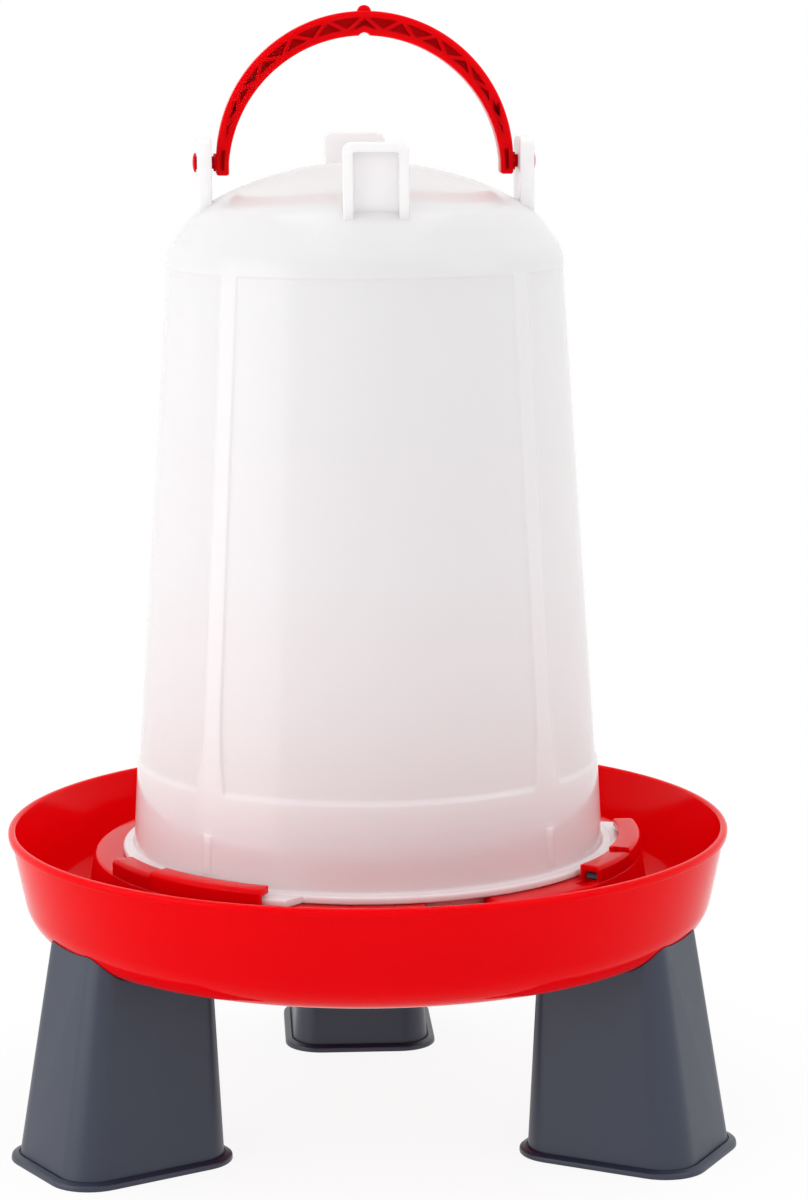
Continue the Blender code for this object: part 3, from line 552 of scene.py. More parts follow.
def add_clip(tray, start):
    """One bayonet clip: a block over the leg's prongs, then a hook over the reservoir's lug."""
    root_z = RING_Z - TRAY_WALL / 2
    outer_r = RING_OUTER_R - SINK
    step = start + BLOCK_SPAN
    block = rounded([
        (CLIP_INNER_R, root_z, 0),
        (outer_r, root_z, 0),
        (outer_r, BLOCK_Z, CLIP_FILLET),
        (CLIP_INNER_R, BLOCK_Z, EDGE),
    ])
    lip_z = HOOK_Z - LIP_T
    slot_r = outer_r - HOOK_WALL + SINK
    hook = rounded([
        (slot_r, root_z, 0),
        (outer_r, root_z, 0),
        (outer_r, HOOK_Z, CLIP_FILLET),
        (CLIP_INNER_R, HOOK_Z, EDGE),
        (CLIP_INNER_R, lip_z, EDGE),
        (slot_r, lip_z, 0),
    ])
    combine(tray, end_rounded("block", block, start, step + SOCKET_END), "UNION")
    combine(tray, end_rounded("hook", hook, step - SOCKET_END, step + HOOK_SPAN), "UNION")

    # The socket that the leg's prongs rise into, and the windows in its two ends
    hollow = box_section(SOCKET_IN_R, SOCKET_OUT_R, RING_Z - 2 * TRAY_WALL, BLOCK_Z - CLIP_WALL)
    combine(tray, swept("socket", hollow, start + SOCKET_END, step - SOCKET_END), "DIFFERENCE")
    sill_z = RING_Z + WINDOW_SILL
    window = box_section(SOCKET_IN_R, SOCKET_OUT_R, sill_z, sill_z + WINDOW_HEIGHT)
    past = SOCKET_END / 2
    combine(tray, swept("window", window, start - past, start + SOCKET_END + past), "DIFFERENCE")
    far_start = step - SOCKET_END - past
    combine(tray, swept("far window", window, far_start, step + past / 4), "DIFFERENCE")

    # The groove across the block's top, beside the hook, and the ramp that leads to the near window
    groove = box_section(SOCKET_IN_R, SOCKET_OUT_R, RING_Z + FLANGE_T, BLOCK_Z + OVERCUT)
    groove_span = math.degrees(SLOT_WIDTH / PRONG_MIDDLE_R)
    groove_start = step - SOCKET_END - groove_span + past
    combine(tray, swept("groove", groove, groove_start, groove_start + groove_span), "DIFFERENCE")
    combine(tray, ramp_slot(start), "DIFFERENCE")


def ramp_slot(start):
    """The shallow round-ended slot in the ring's top that leads to the window."""
    half = PRONG_WIDTH / 2 - EDGE
    outline = [(EDGE, -half), (EDGE, half)]
    for k in range(RAMP_STEPS + 1):
        angle = math.radians(90 + 180 * k / RAMP_STEPS)
        outline.append((half * math.cos(angle) - RAMP_LENGTH + half, half * math.sin(angle)))
    sections = []
    for z in (RING_Z - RAMP_DEPTH, RING_Z + OVERCUT):
        sections.append([along_azimuth(start, PRONG_MIDDLE_R + v, u, z) for u, v in outline])
    return lofted("ramp slot", sections)


def port_outline():
    """The port's mouth as (azimuth, height) points: a slanted left end and a rounded right end."""
    length = math.radians(PORT_SPAN) * RING_OUTER_R
    floor_z = RING_Z - PORT_DEPTH
    crest_z = RING_Z + SINK
    flat = rounded([
        (PORT_SLANT, floor_z, EDGE),
        (length, floor_z, EDGE),
        (length, crest_z, PORT_FILLET),
        (length + 2 * PORT_FILLET, crest_z, 0),
        (length + 2 * PORT_FILLET, RING_Z + OVERCUT, 0),
        (-PORT_SLANT * OVERCUT / PORT_SLANT_DEPTH, RING_Z + OVERCUT, 0),
        (PORT_SLANT, RING_Z - PORT_SLANT_DEPTH, EDGE),
    ])
    return [(PORT_START + math.degrees(s / RING_OUTER_R), z) for s, z in flat]


def add_port(tray):
    """The water port: a saddle across the ring, closed to the hollow below it."""
    wall = math.degrees(TRAY_WALL / RING_OUTER_R)
    end = PORT_START + PORT_SPAN
    inner = ring_bore_r(LEG_HEIGHT)
    outer = ring_wall_r(LEG_HEIGHT)
    under_z = RING_Z - PORT_DEPTH - TRAY_WALL
    plug = box_section(inner + EDGE, RING_OUTER_R - EDGE, LEG_HEIGHT + SINK, RING_Z - EDGE)
    combine(tray, swept("port plug", plug, PORT_START - wall, end + wall), "UNION")
    mouth = []
    for radius in (inner - 3 * OVERCUT, outer + 2 * OVERCUT):
        mouth.append([along_azimuth(azimuth, radius, 0, z) for azimuth, z in port_outline()])
    combine(tray, lofted("port mouth", mouth), "DIFFERENCE")
    hollow = (RING_INNER_R + TRAY_WALL, RING_OUTER_R - TRAY_WALL)
    under = box_section(*hollow, LEG_HEIGHT - OVERCUT, under_z)
    combine(tray, swept("port underside", under, PORT_START, end), "DIFFERENCE")


def make_tray():
    tray = turned("trough_moulding", tray_profile())
    for start in CLIP_AZIMUTHS:
        add_clip(tray, start)
    add_port(tray)
    return tray


# Reservoir


def band_r(height):
    """Outer radius of the reservoir's lower band."""
    return BAND_R + (LEDGE_R - BAND_R) * (height - BAND_Z) / BAND_HEIGHT


def barrel_r(height):
    """Outer radius of the reservoir's barrel, over the pilasters."""
    return LEDGE_R + (SHOULDER_R - LEDGE_R) * (height - LEDGE_Z) / (PANEL_TOP_Z - LEDGE_Z)


def roof_z(radius):
    """Height of the dome's surface or, outside the brow, of the cone below it."""
    if radius < BROW_R:
        return APEX_Z - DOME_R + math.sqrt(DOME_R**2 - radius**2)
    return BROW_Z - (radius - BROW_R) * math.tan(math.radians(SHOULDER_CONE))


def knee():
    """Where the barrel's side meets the shoulder's cone, as (radius, height)."""
    rise = math.tan(math.radians(SHOULDER_CONE))
    taper = (SHOULDER_R - LEDGE_R) / (PANEL_TOP_Z - LEDGE_Z)
    z = (BROW_Z + (BROW_R - LEDGE_R + taper * LEDGE_Z) * rise) / (1 + taper * rise)
    return barrel_r(z), z


def upper_outline(count):
    """The (radius, height) points of the shoulder and dome, from the panels' top to the apex."""
    foot_z = PANEL_TOP_Z + SINK
    corners = [
        (barrel_r(foot_z), foot_z, 0),
        (*knee(), KNEE_FILLET),
        (BROW_R, BROW_Z, BROW_FILLET),
    ]
    for k in range(count):
        radius = BROW_R * DOME_SHARE * (1 - k / count)
        corners.append((radius, roof_z(radius), 0))
    corners.append((0, APEX_Z, 0))
    return rounded(corners)


def ease(share):
    """A smooth step from 0 to 1."""
    share = min(1.0, max(0.0, share))
    return share * share * (3 - 2 * share)


def pilaster_half_width(height):
    """Half the pilaster's width, which flares in a curve towards the ledge."""
    near = min(1.0, max(0.0, 1 - (height - LEDGE_Z) / FLARE_HEIGHT))
    return PILASTER_HALF + PILASTER_FLARE * near**FLARE_CURVE


def rib_relief(height):
    """How far the rib under a pilaster stands out of the band at one height."""
    rise = ease((height - RIB_LOW_Z) / RIB_FADE)
    fall = ease((RIB_HIGH_Z - height) / RIB_FADE)
    return RIB_RELIEF * rise * fall


def panel_columns(height, radius):
    """(azimuth, panel share, rib share) of each column of points round the barrel at one height."""
    half = pilaster_half_width(height)
    pilaster = []
    for k in range(PANEL_EDGE_STEPS, -1, -1):
        pilaster.append((half + PANEL_EDGE * k / PANEL_EDGE_STEPS, ease(k / PANEL_EDGE_STEPS), 0))
    pilaster += [(RIB_HALF + steps * RIB_EDGE, 0, share) for steps, share in RIB_SIDE]
    across = [(-d, panel, rib) for d, panel, rib in pilaster] + [(0, 0, 1)]
    across += [(d, panel, rib) for d, panel, rib in reversed(pilaster)]
    margin = math.degrees((half + PANEL_EDGE) / radius)
    columns = []
    for quarter in range(4):
        middle = BELL_TURN + 45 + 90 * quarter
        for distance, panel, rib in across:
            columns.append((middle + math.degrees(distance / radius), panel, rib))
        for bay in range(1, PANEL_BAYS):
            azimuth = middle + margin + (90 - 2 * margin) * bay / PANEL_BAYS
            columns.append((azimuth, 1, 0))
    return columns


def climb(low, *stages):
    """Heights from low up through (top, count) stages, with that many rows in each."""
    heights = [low]
    for top, count in stages:
        start = heights[-1]
        heights += [start + (top - start) * k / count for k in range(1, count + 1)]
    return heights


def bell_rows():
    """The reservoir's outer rows, bottom to top, as (radius, height, panel recess, rib relief)."""
    skirt_low = FLANGE_Z - SKIRT_DROP
    skirt_r = SKIRT_R - SKIRT_TAPER
    outline = rounded([
        (skirt_r - BELL_WALL, skirt_low, 0),
        (skirt_r, skirt_low, EDGE),
        (SKIRT_R, FLANGE_Z, EDGE),
        (FLANGE_R, FLANGE_Z, EDGE),
        (FLANGE_R, BAND_Z, FLANGE_FILLET),
        (BAND_R, BAND_Z, FLANGE_ROOT),
        (band_r(RIB_LOW_Z), RIB_LOW_Z, 0),
    ])[1:-1]
    rows = [(radius, z, 0, 0) for radius, z in outline]
    ledge_low = LEDGE_Z - LEDGE_DROP
    ledge_high = LEDGE_Z + LEDGE_RISE
    heights = climb(
        RIB_LOW_Z,
        (RIB_LOW_Z + RIB_FADE, RIB_FADE_ROWS),
        (RIB_HIGH_Z - RIB_FADE, RIB_ROWS),
        (RIB_HIGH_Z, RIB_FADE_ROWS),
        (ledge_low, BAND_ROWS),
    )
    rows += [(band_r(z), z, 0, rib_relief(z)) for z in heights]
    heights = climb(
        ledge_low,
        (ledge_high, LEDGE_ROWS),
        (LEDGE_Z + FLARE_HEIGHT, FLARE_ROWS),
        (PANEL_TOP_Z - PANEL_EDGE, PANEL_ROWS),
        (PANEL_TOP_Z, PANEL_TOP_ROWS),
    )
    for z in heights[1:]:
        recess = PANEL_RECESS * (1 - (z - LEDGE_Z) / (PANEL_TOP_Z - LEDGE_Z) / 2)
        recess *= ease((z - ledge_low) / (ledge_high - ledge_low))
        recess *= ease((PANEL_TOP_Z - z) / PANEL_EDGE)
        rows.append((barrel_r(z) if z > LEDGE_Z else band_r(z), z, recess, 0))
    return rows + [(radius, z, 0, 0) for radius, z in upper_outline(DOME_ROWS)]


def bell_inside(inset):
    """The (radius, height) points of the reservoir's inner face, from the apex to the skirt."""
    skirt_low = FLANGE_Z - SKIRT_DROP
    outer = [(SKIRT_R - SKIRT_TAPER, skirt_low), (SKIRT_R, FLANGE_Z), (BAND_R, BAND_Z)]
    heights = climb(LEDGE_Z, (PANEL_TOP_Z, INNER_PANEL_ROWS))
    outer += [(barrel_r(z) - PANEL_RECESS, z) for z in heights]
    outer += upper_outline(INNER_DOME_ROWS)[1:-1]
    inner = inset_outline(outer[::-1], inset, closed=False)
    return [(0, APEX_Z - inset), *inner[1:-1], (SKIRT_R - SKIRT_TAPER - inset, skirt_low)]


def make_shell():
    """The reservoir's closed shell: outer rows from skirt to apex, then inner rows back down.

    Inside EVEN_R the columns run straight to the apex, so that they never cross.
    """
    bm = bmesh.new()
    rings = []
    count = len(panel_columns(LEDGE_Z, LEDGE_R))
    rows = bell_rows() + [(radius, z, 0, 0) for radius, z in bell_inside(BELL_WALL)]
    for radius, z, recess, relief in rows:
        if radius < ON_AXIS:
            rings.append([bm.verts.new((0, 0, z))] * count)
            continue
        ring = []
        for azimuth, panel, rib in panel_columns(z, max(radius, EVEN_R)):
            out = radius - recess * panel + relief * rib
            ring.append(bm.verts.new(along_azimuth(azimuth, out, 0, z)))
        rings.append(ring)
    apex = rings.index(next(ring for ring in rings if ring[0] is ring[1]))
    bridge(bm, rings[: apex + 1])
    bridge(bm, rings[apex + 1 :])
    bridge(bm, [rings[-1], rings[0]])
    return solid("reservoir_moulding", bm)


def add_lug(reservoir, start):
    """One locking lug: it starts at the clip's block and runs under the hook to a slanted nose."""
    root_r = FLANGE_R - OVERCUT
    low_z = FLANGE_Z + SINK
    high_z = BAND_Z - SINK
    section = rounded([
        (root_r, low_z, 0),
        (LUG_R, low_z, EDGE),
        (LUG_R, high_z, EDGE),
        (root_r, high_z, 0),
    ])
    first = start + BLOCK_SPAN + math.degrees(GAP / LUG_R)
    combine(reservoir, swept("lug", section, first, first + LUG_SPAN, LUG_LEAN), "UNION")


def circle(radius, height):
    """The points of a circle about (0, height)."""
    points = []
    for k in range(BORE_STEPS):
        angle = math.tau * k / BORE_STEPS
        points.append((radius * math.cos(angle), height + radius * math.sin(angle)))
    return points


def add_foot(reservoir, cavity_profile, azimuth, bored):
    """One foot on the dome: a bored ear for the handle, or else a channel with its web inwards."""
    half = FOOT_WIDTH / 2
    base = roof_z(math.hypot(FOOT_OUTER_R, half)) - BELL_WALL
    sections = []
    for radial, inset in both_ends(FOOT_INNER_R, FOOT_OUTER_R):
        outline = rounded([
            (inset - half, base, 0),
            (half - inset, base, 0),
            (half - inset, FOOT_Z - inset, FOOT_CORNER),
            (inset - half, FOOT_Z - inset, FOOT_CORNER),
        ])
        sections.append([along_azimuth(azimuth, radial, u, z) for u, z in outline])
    foot = lofted("foot", sections)
    if not bored:
        pocket_half = half - FOOT_FLANGE
        pocket_top = FOOT_Z - FOOT_FLANGE
        pocket = rounded([
            (-pocket_half, base - OVERCUT, 0),
            (pocket_half, base - OVERCUT, 0),
            (pocket_half, pocket_top, EDGE),
            (-pocket_half, pocket_top, EDGE),
        ])
        tool = plate("pocket", pocket, azimuth, FOOT_INNER_R + FOOT_WEB, FOOT_OUTER_R + OVERCUT)
        combine(foot, tool, "DIFFERENCE")
    combine(foot, turned("cavity", cavity_profile), "DIFFERENCE")
    combine(reservoir, foot, "UNION")
    if bored:
        bore = circle(STUD_R + TURN_GAP, PIN_Z)
        tool = plate("bore", bore, azimuth, FOOT_INNER_R - OVERCUT, FOOT_OUTER_R + OVERCUT)
        combine(reservoir, tool, "DIFFERENCE")


def make_reservoir():
    reservoir = make_shell()
    for start in CLIP_AZIMUTHS:
        add_lug(reservoir, start)
    inner = bell_inside(BELL_WALL / 2)
    cavity_profile = inner + [(0, inner[-1][1])]
    for number in range(4):
        add_foot(reservoir, cavity_profile, BELL_TURN + 90 * number, bored=number % 2 == 1)
    return reservoir


# Handle


def bail_inner_r(angle):
    """Distance from the pin's axis to the bail's inner edge, at an angle from the notch."""
    aside = BAIL_OFFSET * math.sin(angle)
    share = min(1.0, abs(math.sin(angle)) * BAIL_INNER_R / NOTCH_R)
    arc_r = math.sqrt(BAIL_INNER_R**2 - aside**2) - BAIL_OFFSET * math.cos(angle)
    return arc_r + NOTCH_DEPTH * (1 - share**2)


def on_bail(angle, radius):
    """The (x, z) point at an angle from upright, about the pin's axis."""
    return (radius * math.sin(angle), radius * math.cos(angle))


def truss_pockets():
    """Outlines of the bays between the zigzag ribs, on both sides of the apex."""
    step = math.radians(TRUSS_PITCH / 2)
    outer = BAIL_R - BAIL_RIM
    bays = []
    for i in range(-2 * TRUSS_BAYS, 2 * TRUSS_BAYS + 1):
        angles = [(i + k) * step for k in (-1, -0.5, 0, 0.5, 1)]
        if i % 2:
            rim = [on_bail(angle, outer) for angle in angles]
            tip = on_bail(i * step, bail_inner_r(i * step) + BAIL_RIM)
        else:
            rim = [on_bail(angle, bail_inner_r(angle) + BAIL_RIM) for angle in reversed(angles)]
            tip = on_bail(i * step, outer)
        bays.append(inset_outline([*rim, tip], RIB_T / 2))
    return bays


def slot_outline(side):
    """Outline of the plain slot between the last rib and the bail's end."""
    first = math.radians(TRUSS_PITCH / 2) * (2 * TRUSS_BAYS + 1) + RIB_T / BAIL_R
    last = math.radians(90) + (BAIL_DROP - BAIL_RIM) / BAIL_R
    outer = []
    inner = []
    for k in range(SLOT_STEPS + 1):
        angle = first + (last - first) * k / SLOT_STEPS
        outer.append(on_bail(angle, BAIL_R - BAIL_RIM))
        inner.append(on_bail(angle, bail_inner_r(angle) + BAIL_RIM))
    return [(side * x, z) for x, z in outer + inner[::-1]]


def bail_outline():
    """The bail's outline about the pin's axis: the outer arc, the ends, and the inner arc."""
    angles = [math.radians(-90 + 180 * k / BAIL_STEPS) for k in range(BAIL_STEPS + 1)]
    notch = math.asin(NOTCH_R / BAIL_INNER_R)
    inner_angles = [angle for angle in angles if abs(angle) > NOTCH_CLEAR * notch]
    inner_angles += [notch * k / NOTCH_STEPS for k in range(-NOTCH_STEPS, NOTCH_STEPS + 1)]
    outer = [on_bail(angle, BAIL_R) for angle in angles]
    inner = [on_bail(angle, bail_inner_r(angle)) for angle in sorted(inner_angles)]
    end = inner[-1][0]
    low_z = -BAIL_DROP
    eased = CORNER_EASE * BAIL_CORNER
    right = [
        (BAIL_R, low_z + BAIL_CORNER),
        (BAIL_R - eased, low_z + eased),
        (BAIL_R - BAIL_CORNER, low_z),
        (end + BAIL_CORNER, low_z),
        (end + eased, low_z + eased),
        (end, low_z + BAIL_CORNER),
    ]
    left = [(-x, z) for x, z in reversed(right)]
    return outer + right + inner[::-1] + left


def stepped_stud(side):
    """The boss, stud and dome head at one end of the bail."""
    ear_in = FOOT_INNER_R - GAP
    ear_out = FOOT_OUTER_R + GAP
    boss_end = BAIL_R + (ear_in - BAIL_R) * BOSS_SHARE
    stations = [
        (BAIL_R - BAIL_RIM / 2, BOSS_R),
        (boss_end, BOSS_R),
        (boss_end, STUD_R),
        (ear_out, STUD_R),
        (ear_out, HEAD_R),
    ]
    for k in range(1, HEAD_STEPS + 1):
        angle = math.radians(90 * k / (HEAD_STEPS + 1))
        rise = HEAD_SIDE + (1 - HEAD_SIDE) * math.sin(angle)
        stations.append((ear_out + HEAD_T * rise, HEAD_R * math.cos(angle)))
    sections = [[(side * x, y, z) for y, z in circle(radius, 0)] for x, radius in stations]
    return lofted("stud", sections)


def make_handle():
    outline = bail_outline()
    half = BAIL_DEPTH / 2
    sections = []
    for y, inset in both_ends(-half, half):
        sections.append([(x, y, z) for x, z in inset_outline(outline, inset)])
    handle = lofted("bail_moulding", sections)
    for side in (-1, 1):
        combine(handle, stepped_stud(side), "UNION")
    knob = circle(KNOB_R, BAIL_R - KNOB_SINK)
    combine(handle, extruded("knob", knob, -KNOB_R, KNOB_R), "UNION")
    for side in (-1, 1):
        depths = sorted((side * BAIL_WEB / 2, side * (half + OVERCUT)))
        for bay in truss_pockets() + [slot_outline(-1), slot_outline(1)]:
            combine(handle, extruded("bay", bay, *depths), "DIFFERENCE")
    turn = Matrix.Rotation(math.radians(BELL_TURN), 4, "Z")
    handle.data.transform(Matrix.Translation((0, 0, PIN_Z)) @ turn)
    return handle


# Legs


def leg_section(height, grow):
    """The leg's (radial, sideways) outline at one height, grown by a flange or set in by a wall."""
    share = height / LEG_HEIGHT
    outer = LEG_OUTER_R + (LEG_TOP_OUTER_R - LEG_OUTER_R) * share + grow
    inner = outer - LEG_LENGTH + (LEG_LENGTH - LEG_TOP_LENGTH) * share - 2 * grow
    half = LEG_HALF_WIDTH + (LEG_TOP_HALF_WIDTH - LEG_HALF_WIDTH) * share + grow
    corner = LEG_CORNER + (LEG_TOP_CORNER - LEG_CORNER) * share + grow
    corner = max(LEG_LEAST_CORNER, corner)
    inner_corner = LEG_INNER_CORNER + (LEG_TOP_INNER_CORNER - LEG_INNER_CORNER) * share + grow
    inner_corner = max(LEG_LEAST_CORNER, inner_corner)
    points = []
    for x, y, radius, start in (
        (inner + inner_corner, inner_corner - half, inner_corner, 180),
        (outer - corner, corner - half, corner, 270),
        (outer - corner, half - corner, corner, 0),
        (inner + inner_corner, half - inner_corner, inner_corner, 90),
    ):
        for k in range(LEG_CORNER_STEPS + 1):
            angle = math.radians(start + 90 * k / LEG_CORNER_STEPS)
            points.append((x + radius * math.cos(angle), y + radius * math.sin(angle)))
    return points


def stacked(name, azimuth, levels):
    """A leg-shaped solid through several (height, grow) levels, at an azimuth."""
    sections = []
    for height, grow in levels:
        flat = leg_section(height, grow)
        sections.append([along_azimuth(azimuth, radial, u, height) for radial, u in flat])
    return lofted(name, sections)


def tray_envelope(gap):
    """The tray's outer form, grown by a gap, as a cutter for what fits under it."""
    under = LEG_HEIGHT - gap
    above = RIM_Z + OVERCUT
    return turned("tray envelope", rounded([
        (0, above, 0),
        (tray_wall_r(above) + gap, above, 0),
        (tray_wall_r(under) + gap, under, TRAY_CORNER + gap),
        (0, under, 0),
    ]))


def prong(azimuth, side):
    """One snap prong: a bar up through the hollow ring, with a barb towards the block's window."""
    outer = PRONG_REACH
    inner = outer - PRONG_T
    base_z = LEG_HEIGHT - GAP - LEG_WALL / 2
    sill_z = RING_Z + WINDOW_SILL
    top_z = sill_z + WINDOW_HEIGHT - GAP
    outline = [
        (inner, base_z),
        (outer, base_z),
        (outer, sill_z + GAP),
        (outer + PRONG_BARB, sill_z + 2 * GAP),
        (outer, top_z),
        (inner, top_z),
    ]
    outline = [(side * u, z) for u, z in outline]
    return plate("prong", outline, azimuth, PRONG_IN_R, PRONG_OUT_R)


def make_leg(name, azimuth):
    """One leg: a foot flange, a fillet above it, the tapered box and its hollow, and two prongs."""
    top = (RIM_Z + LEG_HEIGHT) / 2
    levels = [(z, LEG_FLANGE - inset) for z, inset in both_ends(0, LEG_FLANGE_T)]
    levels += [(LEG_FLANGE_T + rise, EDGE - inset) for inset, rise in eased_edge(EDGE)]
    levels.append((top, 0))
    leg = stacked(name, azimuth, levels)
    core = stacked("core", azimuth, [(-OVERCUT, -LEG_WALL), (top + OVERCUT, -LEG_WALL)])
    combine(core, tray_envelope(GAP + LEG_WALL), "DIFFERENCE")
    combine(leg, tray_envelope(GAP), "DIFFERENCE")
    combine(leg, core, "DIFFERENCE")
    for side in (-1, 1):
        combine(leg, prong(azimuth, side), "UNION")
    return leg


# Materials


class Paint:
    """Builds one Principled material. Its keywords are the shader's constant inputs."""

    def __init__(self, name, **values):
        self.material = bpy.data.materials.new(name)
        self.material.use_nodes = True
        self.nodes = self.material.node_tree.nodes
        self.links = self.material.node_tree.links
        self.shader = self.nodes["Principled BSDF"]
        for key, value in values.items():
            self.shader.inputs[key.replace("_", " ")].default_value = value

    def add(self, kind, **settings):
        node = self.nodes.new("ShaderNode" + kind)
        for key, value in settings.items():
            setattr(node, key, value)
        return node

    def place(self):
        """Object coordinates."""
        return self.add("TexCoord").outputs["Object"]

    def noise(self, scale, detail, stretch=None):
        """Noise with about this many patches in a metre, from 0 to 1."""
        vector = self.place()
        if stretch:
            mapping = self.add("Mapping")
            mapping.inputs["Scale"].default_value = stretch
            self.links.new(vector, mapping.inputs["Vector"])
            vector = mapping.outputs["Vector"]
        node = self.add("TexNoise")
        node.inputs["Scale"].default_value = scale
        node.inputs["Detail"].default_value = detail
        self.links.new(vector, node.inputs["Vector"])
        return node.outputs["Fac"]

    def ramp(self, value, low, high):
        """Maps a 0 to 1 value onto low to high."""
        node = self.add("MapRange")
        node.inputs["To Min"].default_value = low
        node.inputs["To Max"].default_value = high
        self.links.new(value, node.inputs["Value"])
        return node.outputs["Result"]

    def mix(self, share, first, second):
        """Blends two colours. Each is three numbers, or another node's colour."""
        node = self.add("Mix", data_type="RGBA")
        for colour, socket in ((first, node.inputs["A"]), (second, node.inputs["B"])):
            if isinstance(colour, tuple):
                socket.default_value = (*colour, 1)
            else:
                self.links.new(colour, socket)
        self.links.new(share, node.inputs["Factor"])
        return node.outputs["Result"]

    def by_height(self, stops):
        """Blends (height, colour) stops up the drinker, in metres from the floor."""
        split = self.add("SeparateXYZ")
        self.links.new(self.place(), split.inputs["Vector"])
        low = stops[0][0]
        high = stops[-1][0]
        share = self.add("MapRange")
        share.inputs["From Min"].default_value = low
        share.inputs["From Max"].default_value = high
        self.links.new(split.outputs["Z"], share.inputs["Value"])
        blend = self.add("ValToRGB")
        blend.color_ramp.interpolation = "EASE"
        elements = blend.color_ramp.elements
        elements.remove(elements[1])
        for i, (height, colour) in enumerate(stops):
            position = (height - low) / (high - low)
            stop = elements.new(position) if i else elements[0]
            stop.color = (*colour, 1)
        self.links.new(share.outputs["Result"], blend.inputs["Fac"])
        return blend.outputs["Color"]

    def feed(self, output, name):
        self.links.new(output, self.shader.inputs[name])

    def bump(self, *waves):
        """Rounds the edges by a small radius, then adds (noise, distance) waves."""
        bevel = self.add("Bevel", samples=BEVEL_SAMPLES)
        bevel.inputs["Radius"].default_value = BEVEL_RADIUS
        normal = bevel.outputs["Normal"]
        for height, distance in waves:
            node = self.add("Bump")
            node.inputs["Strength"].default_value = 1
            node.inputs["Distance"].default_value = distance
            self.links.new(height, node.inputs["Height"])
            self.links.new(normal, node.inputs["Normal"])
            normal = node.outputs["Normal"]
        self.feed(normal, "Normal")


# Plastics: their soft edges, their colours, and the height of their waves and grain
BEVEL_SAMPLES = 4
BEVEL_RADIUS = 0.0005
RED_COLOURS = ((0.62, 0.0003, 0.0022), (0.69, 0.0005, 0.0028))
RED_WAVE = 0.00003
RED_GRAIN = 0.000003
# Painted bounce light: the reservoir's base colour turns pink towards the bottom, standing in for
# the red tray's light shining through the wall, and a little greyer near the top
MILKY_PAINTED_BOUNCE_STOPS = (
    (0.13, (1.0, 0.86, 0.885)),
    (0.20, (0.995, 0.88, 0.905)),
    (0.31, (0.985, 0.93, 0.95)),
    (0.42, (0.96, 0.935, 0.95)),
    (0.48, (0.93, 0.915, 0.925)),
)
MILKY_CLOUD = (0.985, 0.945, 0.96)
MILKY_CLOUD_SHARE = 0.35
MILKY_WAVE = 0.00006
MILKY_GRAIN = 0.000003
GREY_COLOURS = ((0.015, 0.022, 0.046), (0.020, 0.029, 0.057))
GREY_WAVE = 0.00004
GREY_GRAIN = 0.00002


def red_plastic():
    """Saturated red with low gloss, and light inside its thin walls."""
    paint = Paint(
        "red_plastic",
        Specular_IOR_Level=0.05,
        Subsurface_Weight=0.8,
        Subsurface_Radius=(1.0, 0.05, 0.05),
        Subsurface_Scale=0.012,
    )
    paint.feed(paint.mix(paint.noise(scale=9, detail=4), *RED_COLOURS), "Base Color")
    paint.feed(paint.ramp(paint.noise(scale=60, detail=4), low=0.09, high=0.15), "Roughness")
    wave = paint.noise(scale=14, detail=2)
    grain = paint.noise(scale=900, detail=2)
    paint.bump((wave, RED_WAVE), (grain, RED_GRAIN))
    return paint.material


def milky_plastic():
    """Translucent white, with the red tray's bounce light painted into its colour as pink that is
    strongest at the bottom.
    """
    paint = Paint(
        "milky_plastic",
        Specular_IOR_Level=0.35,
        Transmission_Weight=0.14,
        Subsurface_Weight=0.35,
        Subsurface_Radius=(1.0, 0.9, 0.95),
        Subsurface_Scale=0.02,
    )
    share = paint.ramp(paint.noise(scale=5, detail=3), low=0, high=MILKY_CLOUD_SHARE)
    # The base colour carries the painted pink bounce light from the tray, blended with random
    # cloudy tone
    paint.feed(paint.mix(share, paint.by_height(MILKY_PAINTED_BOUNCE_STOPS), MILKY_CLOUD), "Base Color")
    paint.feed(paint.ramp(paint.noise(scale=30, detail=3), low=0.10, high=0.15), "Roughness")
    wave = paint.noise(scale=7, detail=2, stretch=(1, 1, 0.5))
    grain = paint.noise(scale=700, detail=2)
    paint.bump((wave, MILKY_WAVE), (grain, MILKY_GRAIN))
    return paint.material


def grey_plastic():
    """Dark blue-grey, with a satin surface."""
    paint = Paint("grey_plastic", Specular_IOR_Level=0.6)
    paint.feed(paint.mix(paint.noise(scale=12, detail=4), *GREY_COLOURS), "Base Color")
    paint.feed(paint.ramp(paint.noise(scale=80, detail=4), low=0.34, high=0.44), "Roughness")
    wave = paint.noise(scale=25, detail=2)
    grain = paint.noise(scale=1600, detail=3)
    paint.bump((wave, GREY_WAVE), (grain, GREY_GRAIN))
    return paint.material


# Stage

# Camera, fitted to the photograph
CAMERA_PLACE = (-0.0717, -1.6867 + AXIS.y, 0.5414)
CAMERA_PITCH = 9.40
CAMERA_YAW = 3.06
CAMERA_ROLL = -0.21
CAMERA_LENS = 103.26
SENSOR_HEIGHT = 36.0

# Light and floor
WORLD_STRENGTH = 0.96
TOP_LIGHT_Z = 1.7
FLOOR_HALF = 6.0
FLOOR_COLOUR = (0.96, 0.96, 0.96)
FLOOR_ROUGHNESS = 0.8
FLOOR_GLOSS = 0.1
FLOOR_WHITE = 0.9
FADE_START = 0.35
FADE_END = 0.75


def add_camera():
    data = bpy.data.cameras.new("camera")
    data.lens = CAMERA_LENS
    data.sensor_fit = "VERTICAL"
    data.sensor_height = SENSOR_HEIGHT
    camera = placed("camera", data)
    turn = Matrix.Rotation(math.radians(-CAMERA_YAW), 4, "Z")
    tilt = Matrix.Rotation(math.radians(90 - CAMERA_PITCH), 4, "X")
    roll = Matrix.Rotation(math.radians(CAMERA_ROLL), 4, "Z")
    camera.matrix_world = Matrix.Translation(CAMERA_PLACE) @ turn @ tilt @ roll
    bpy.context.scene.camera = camera


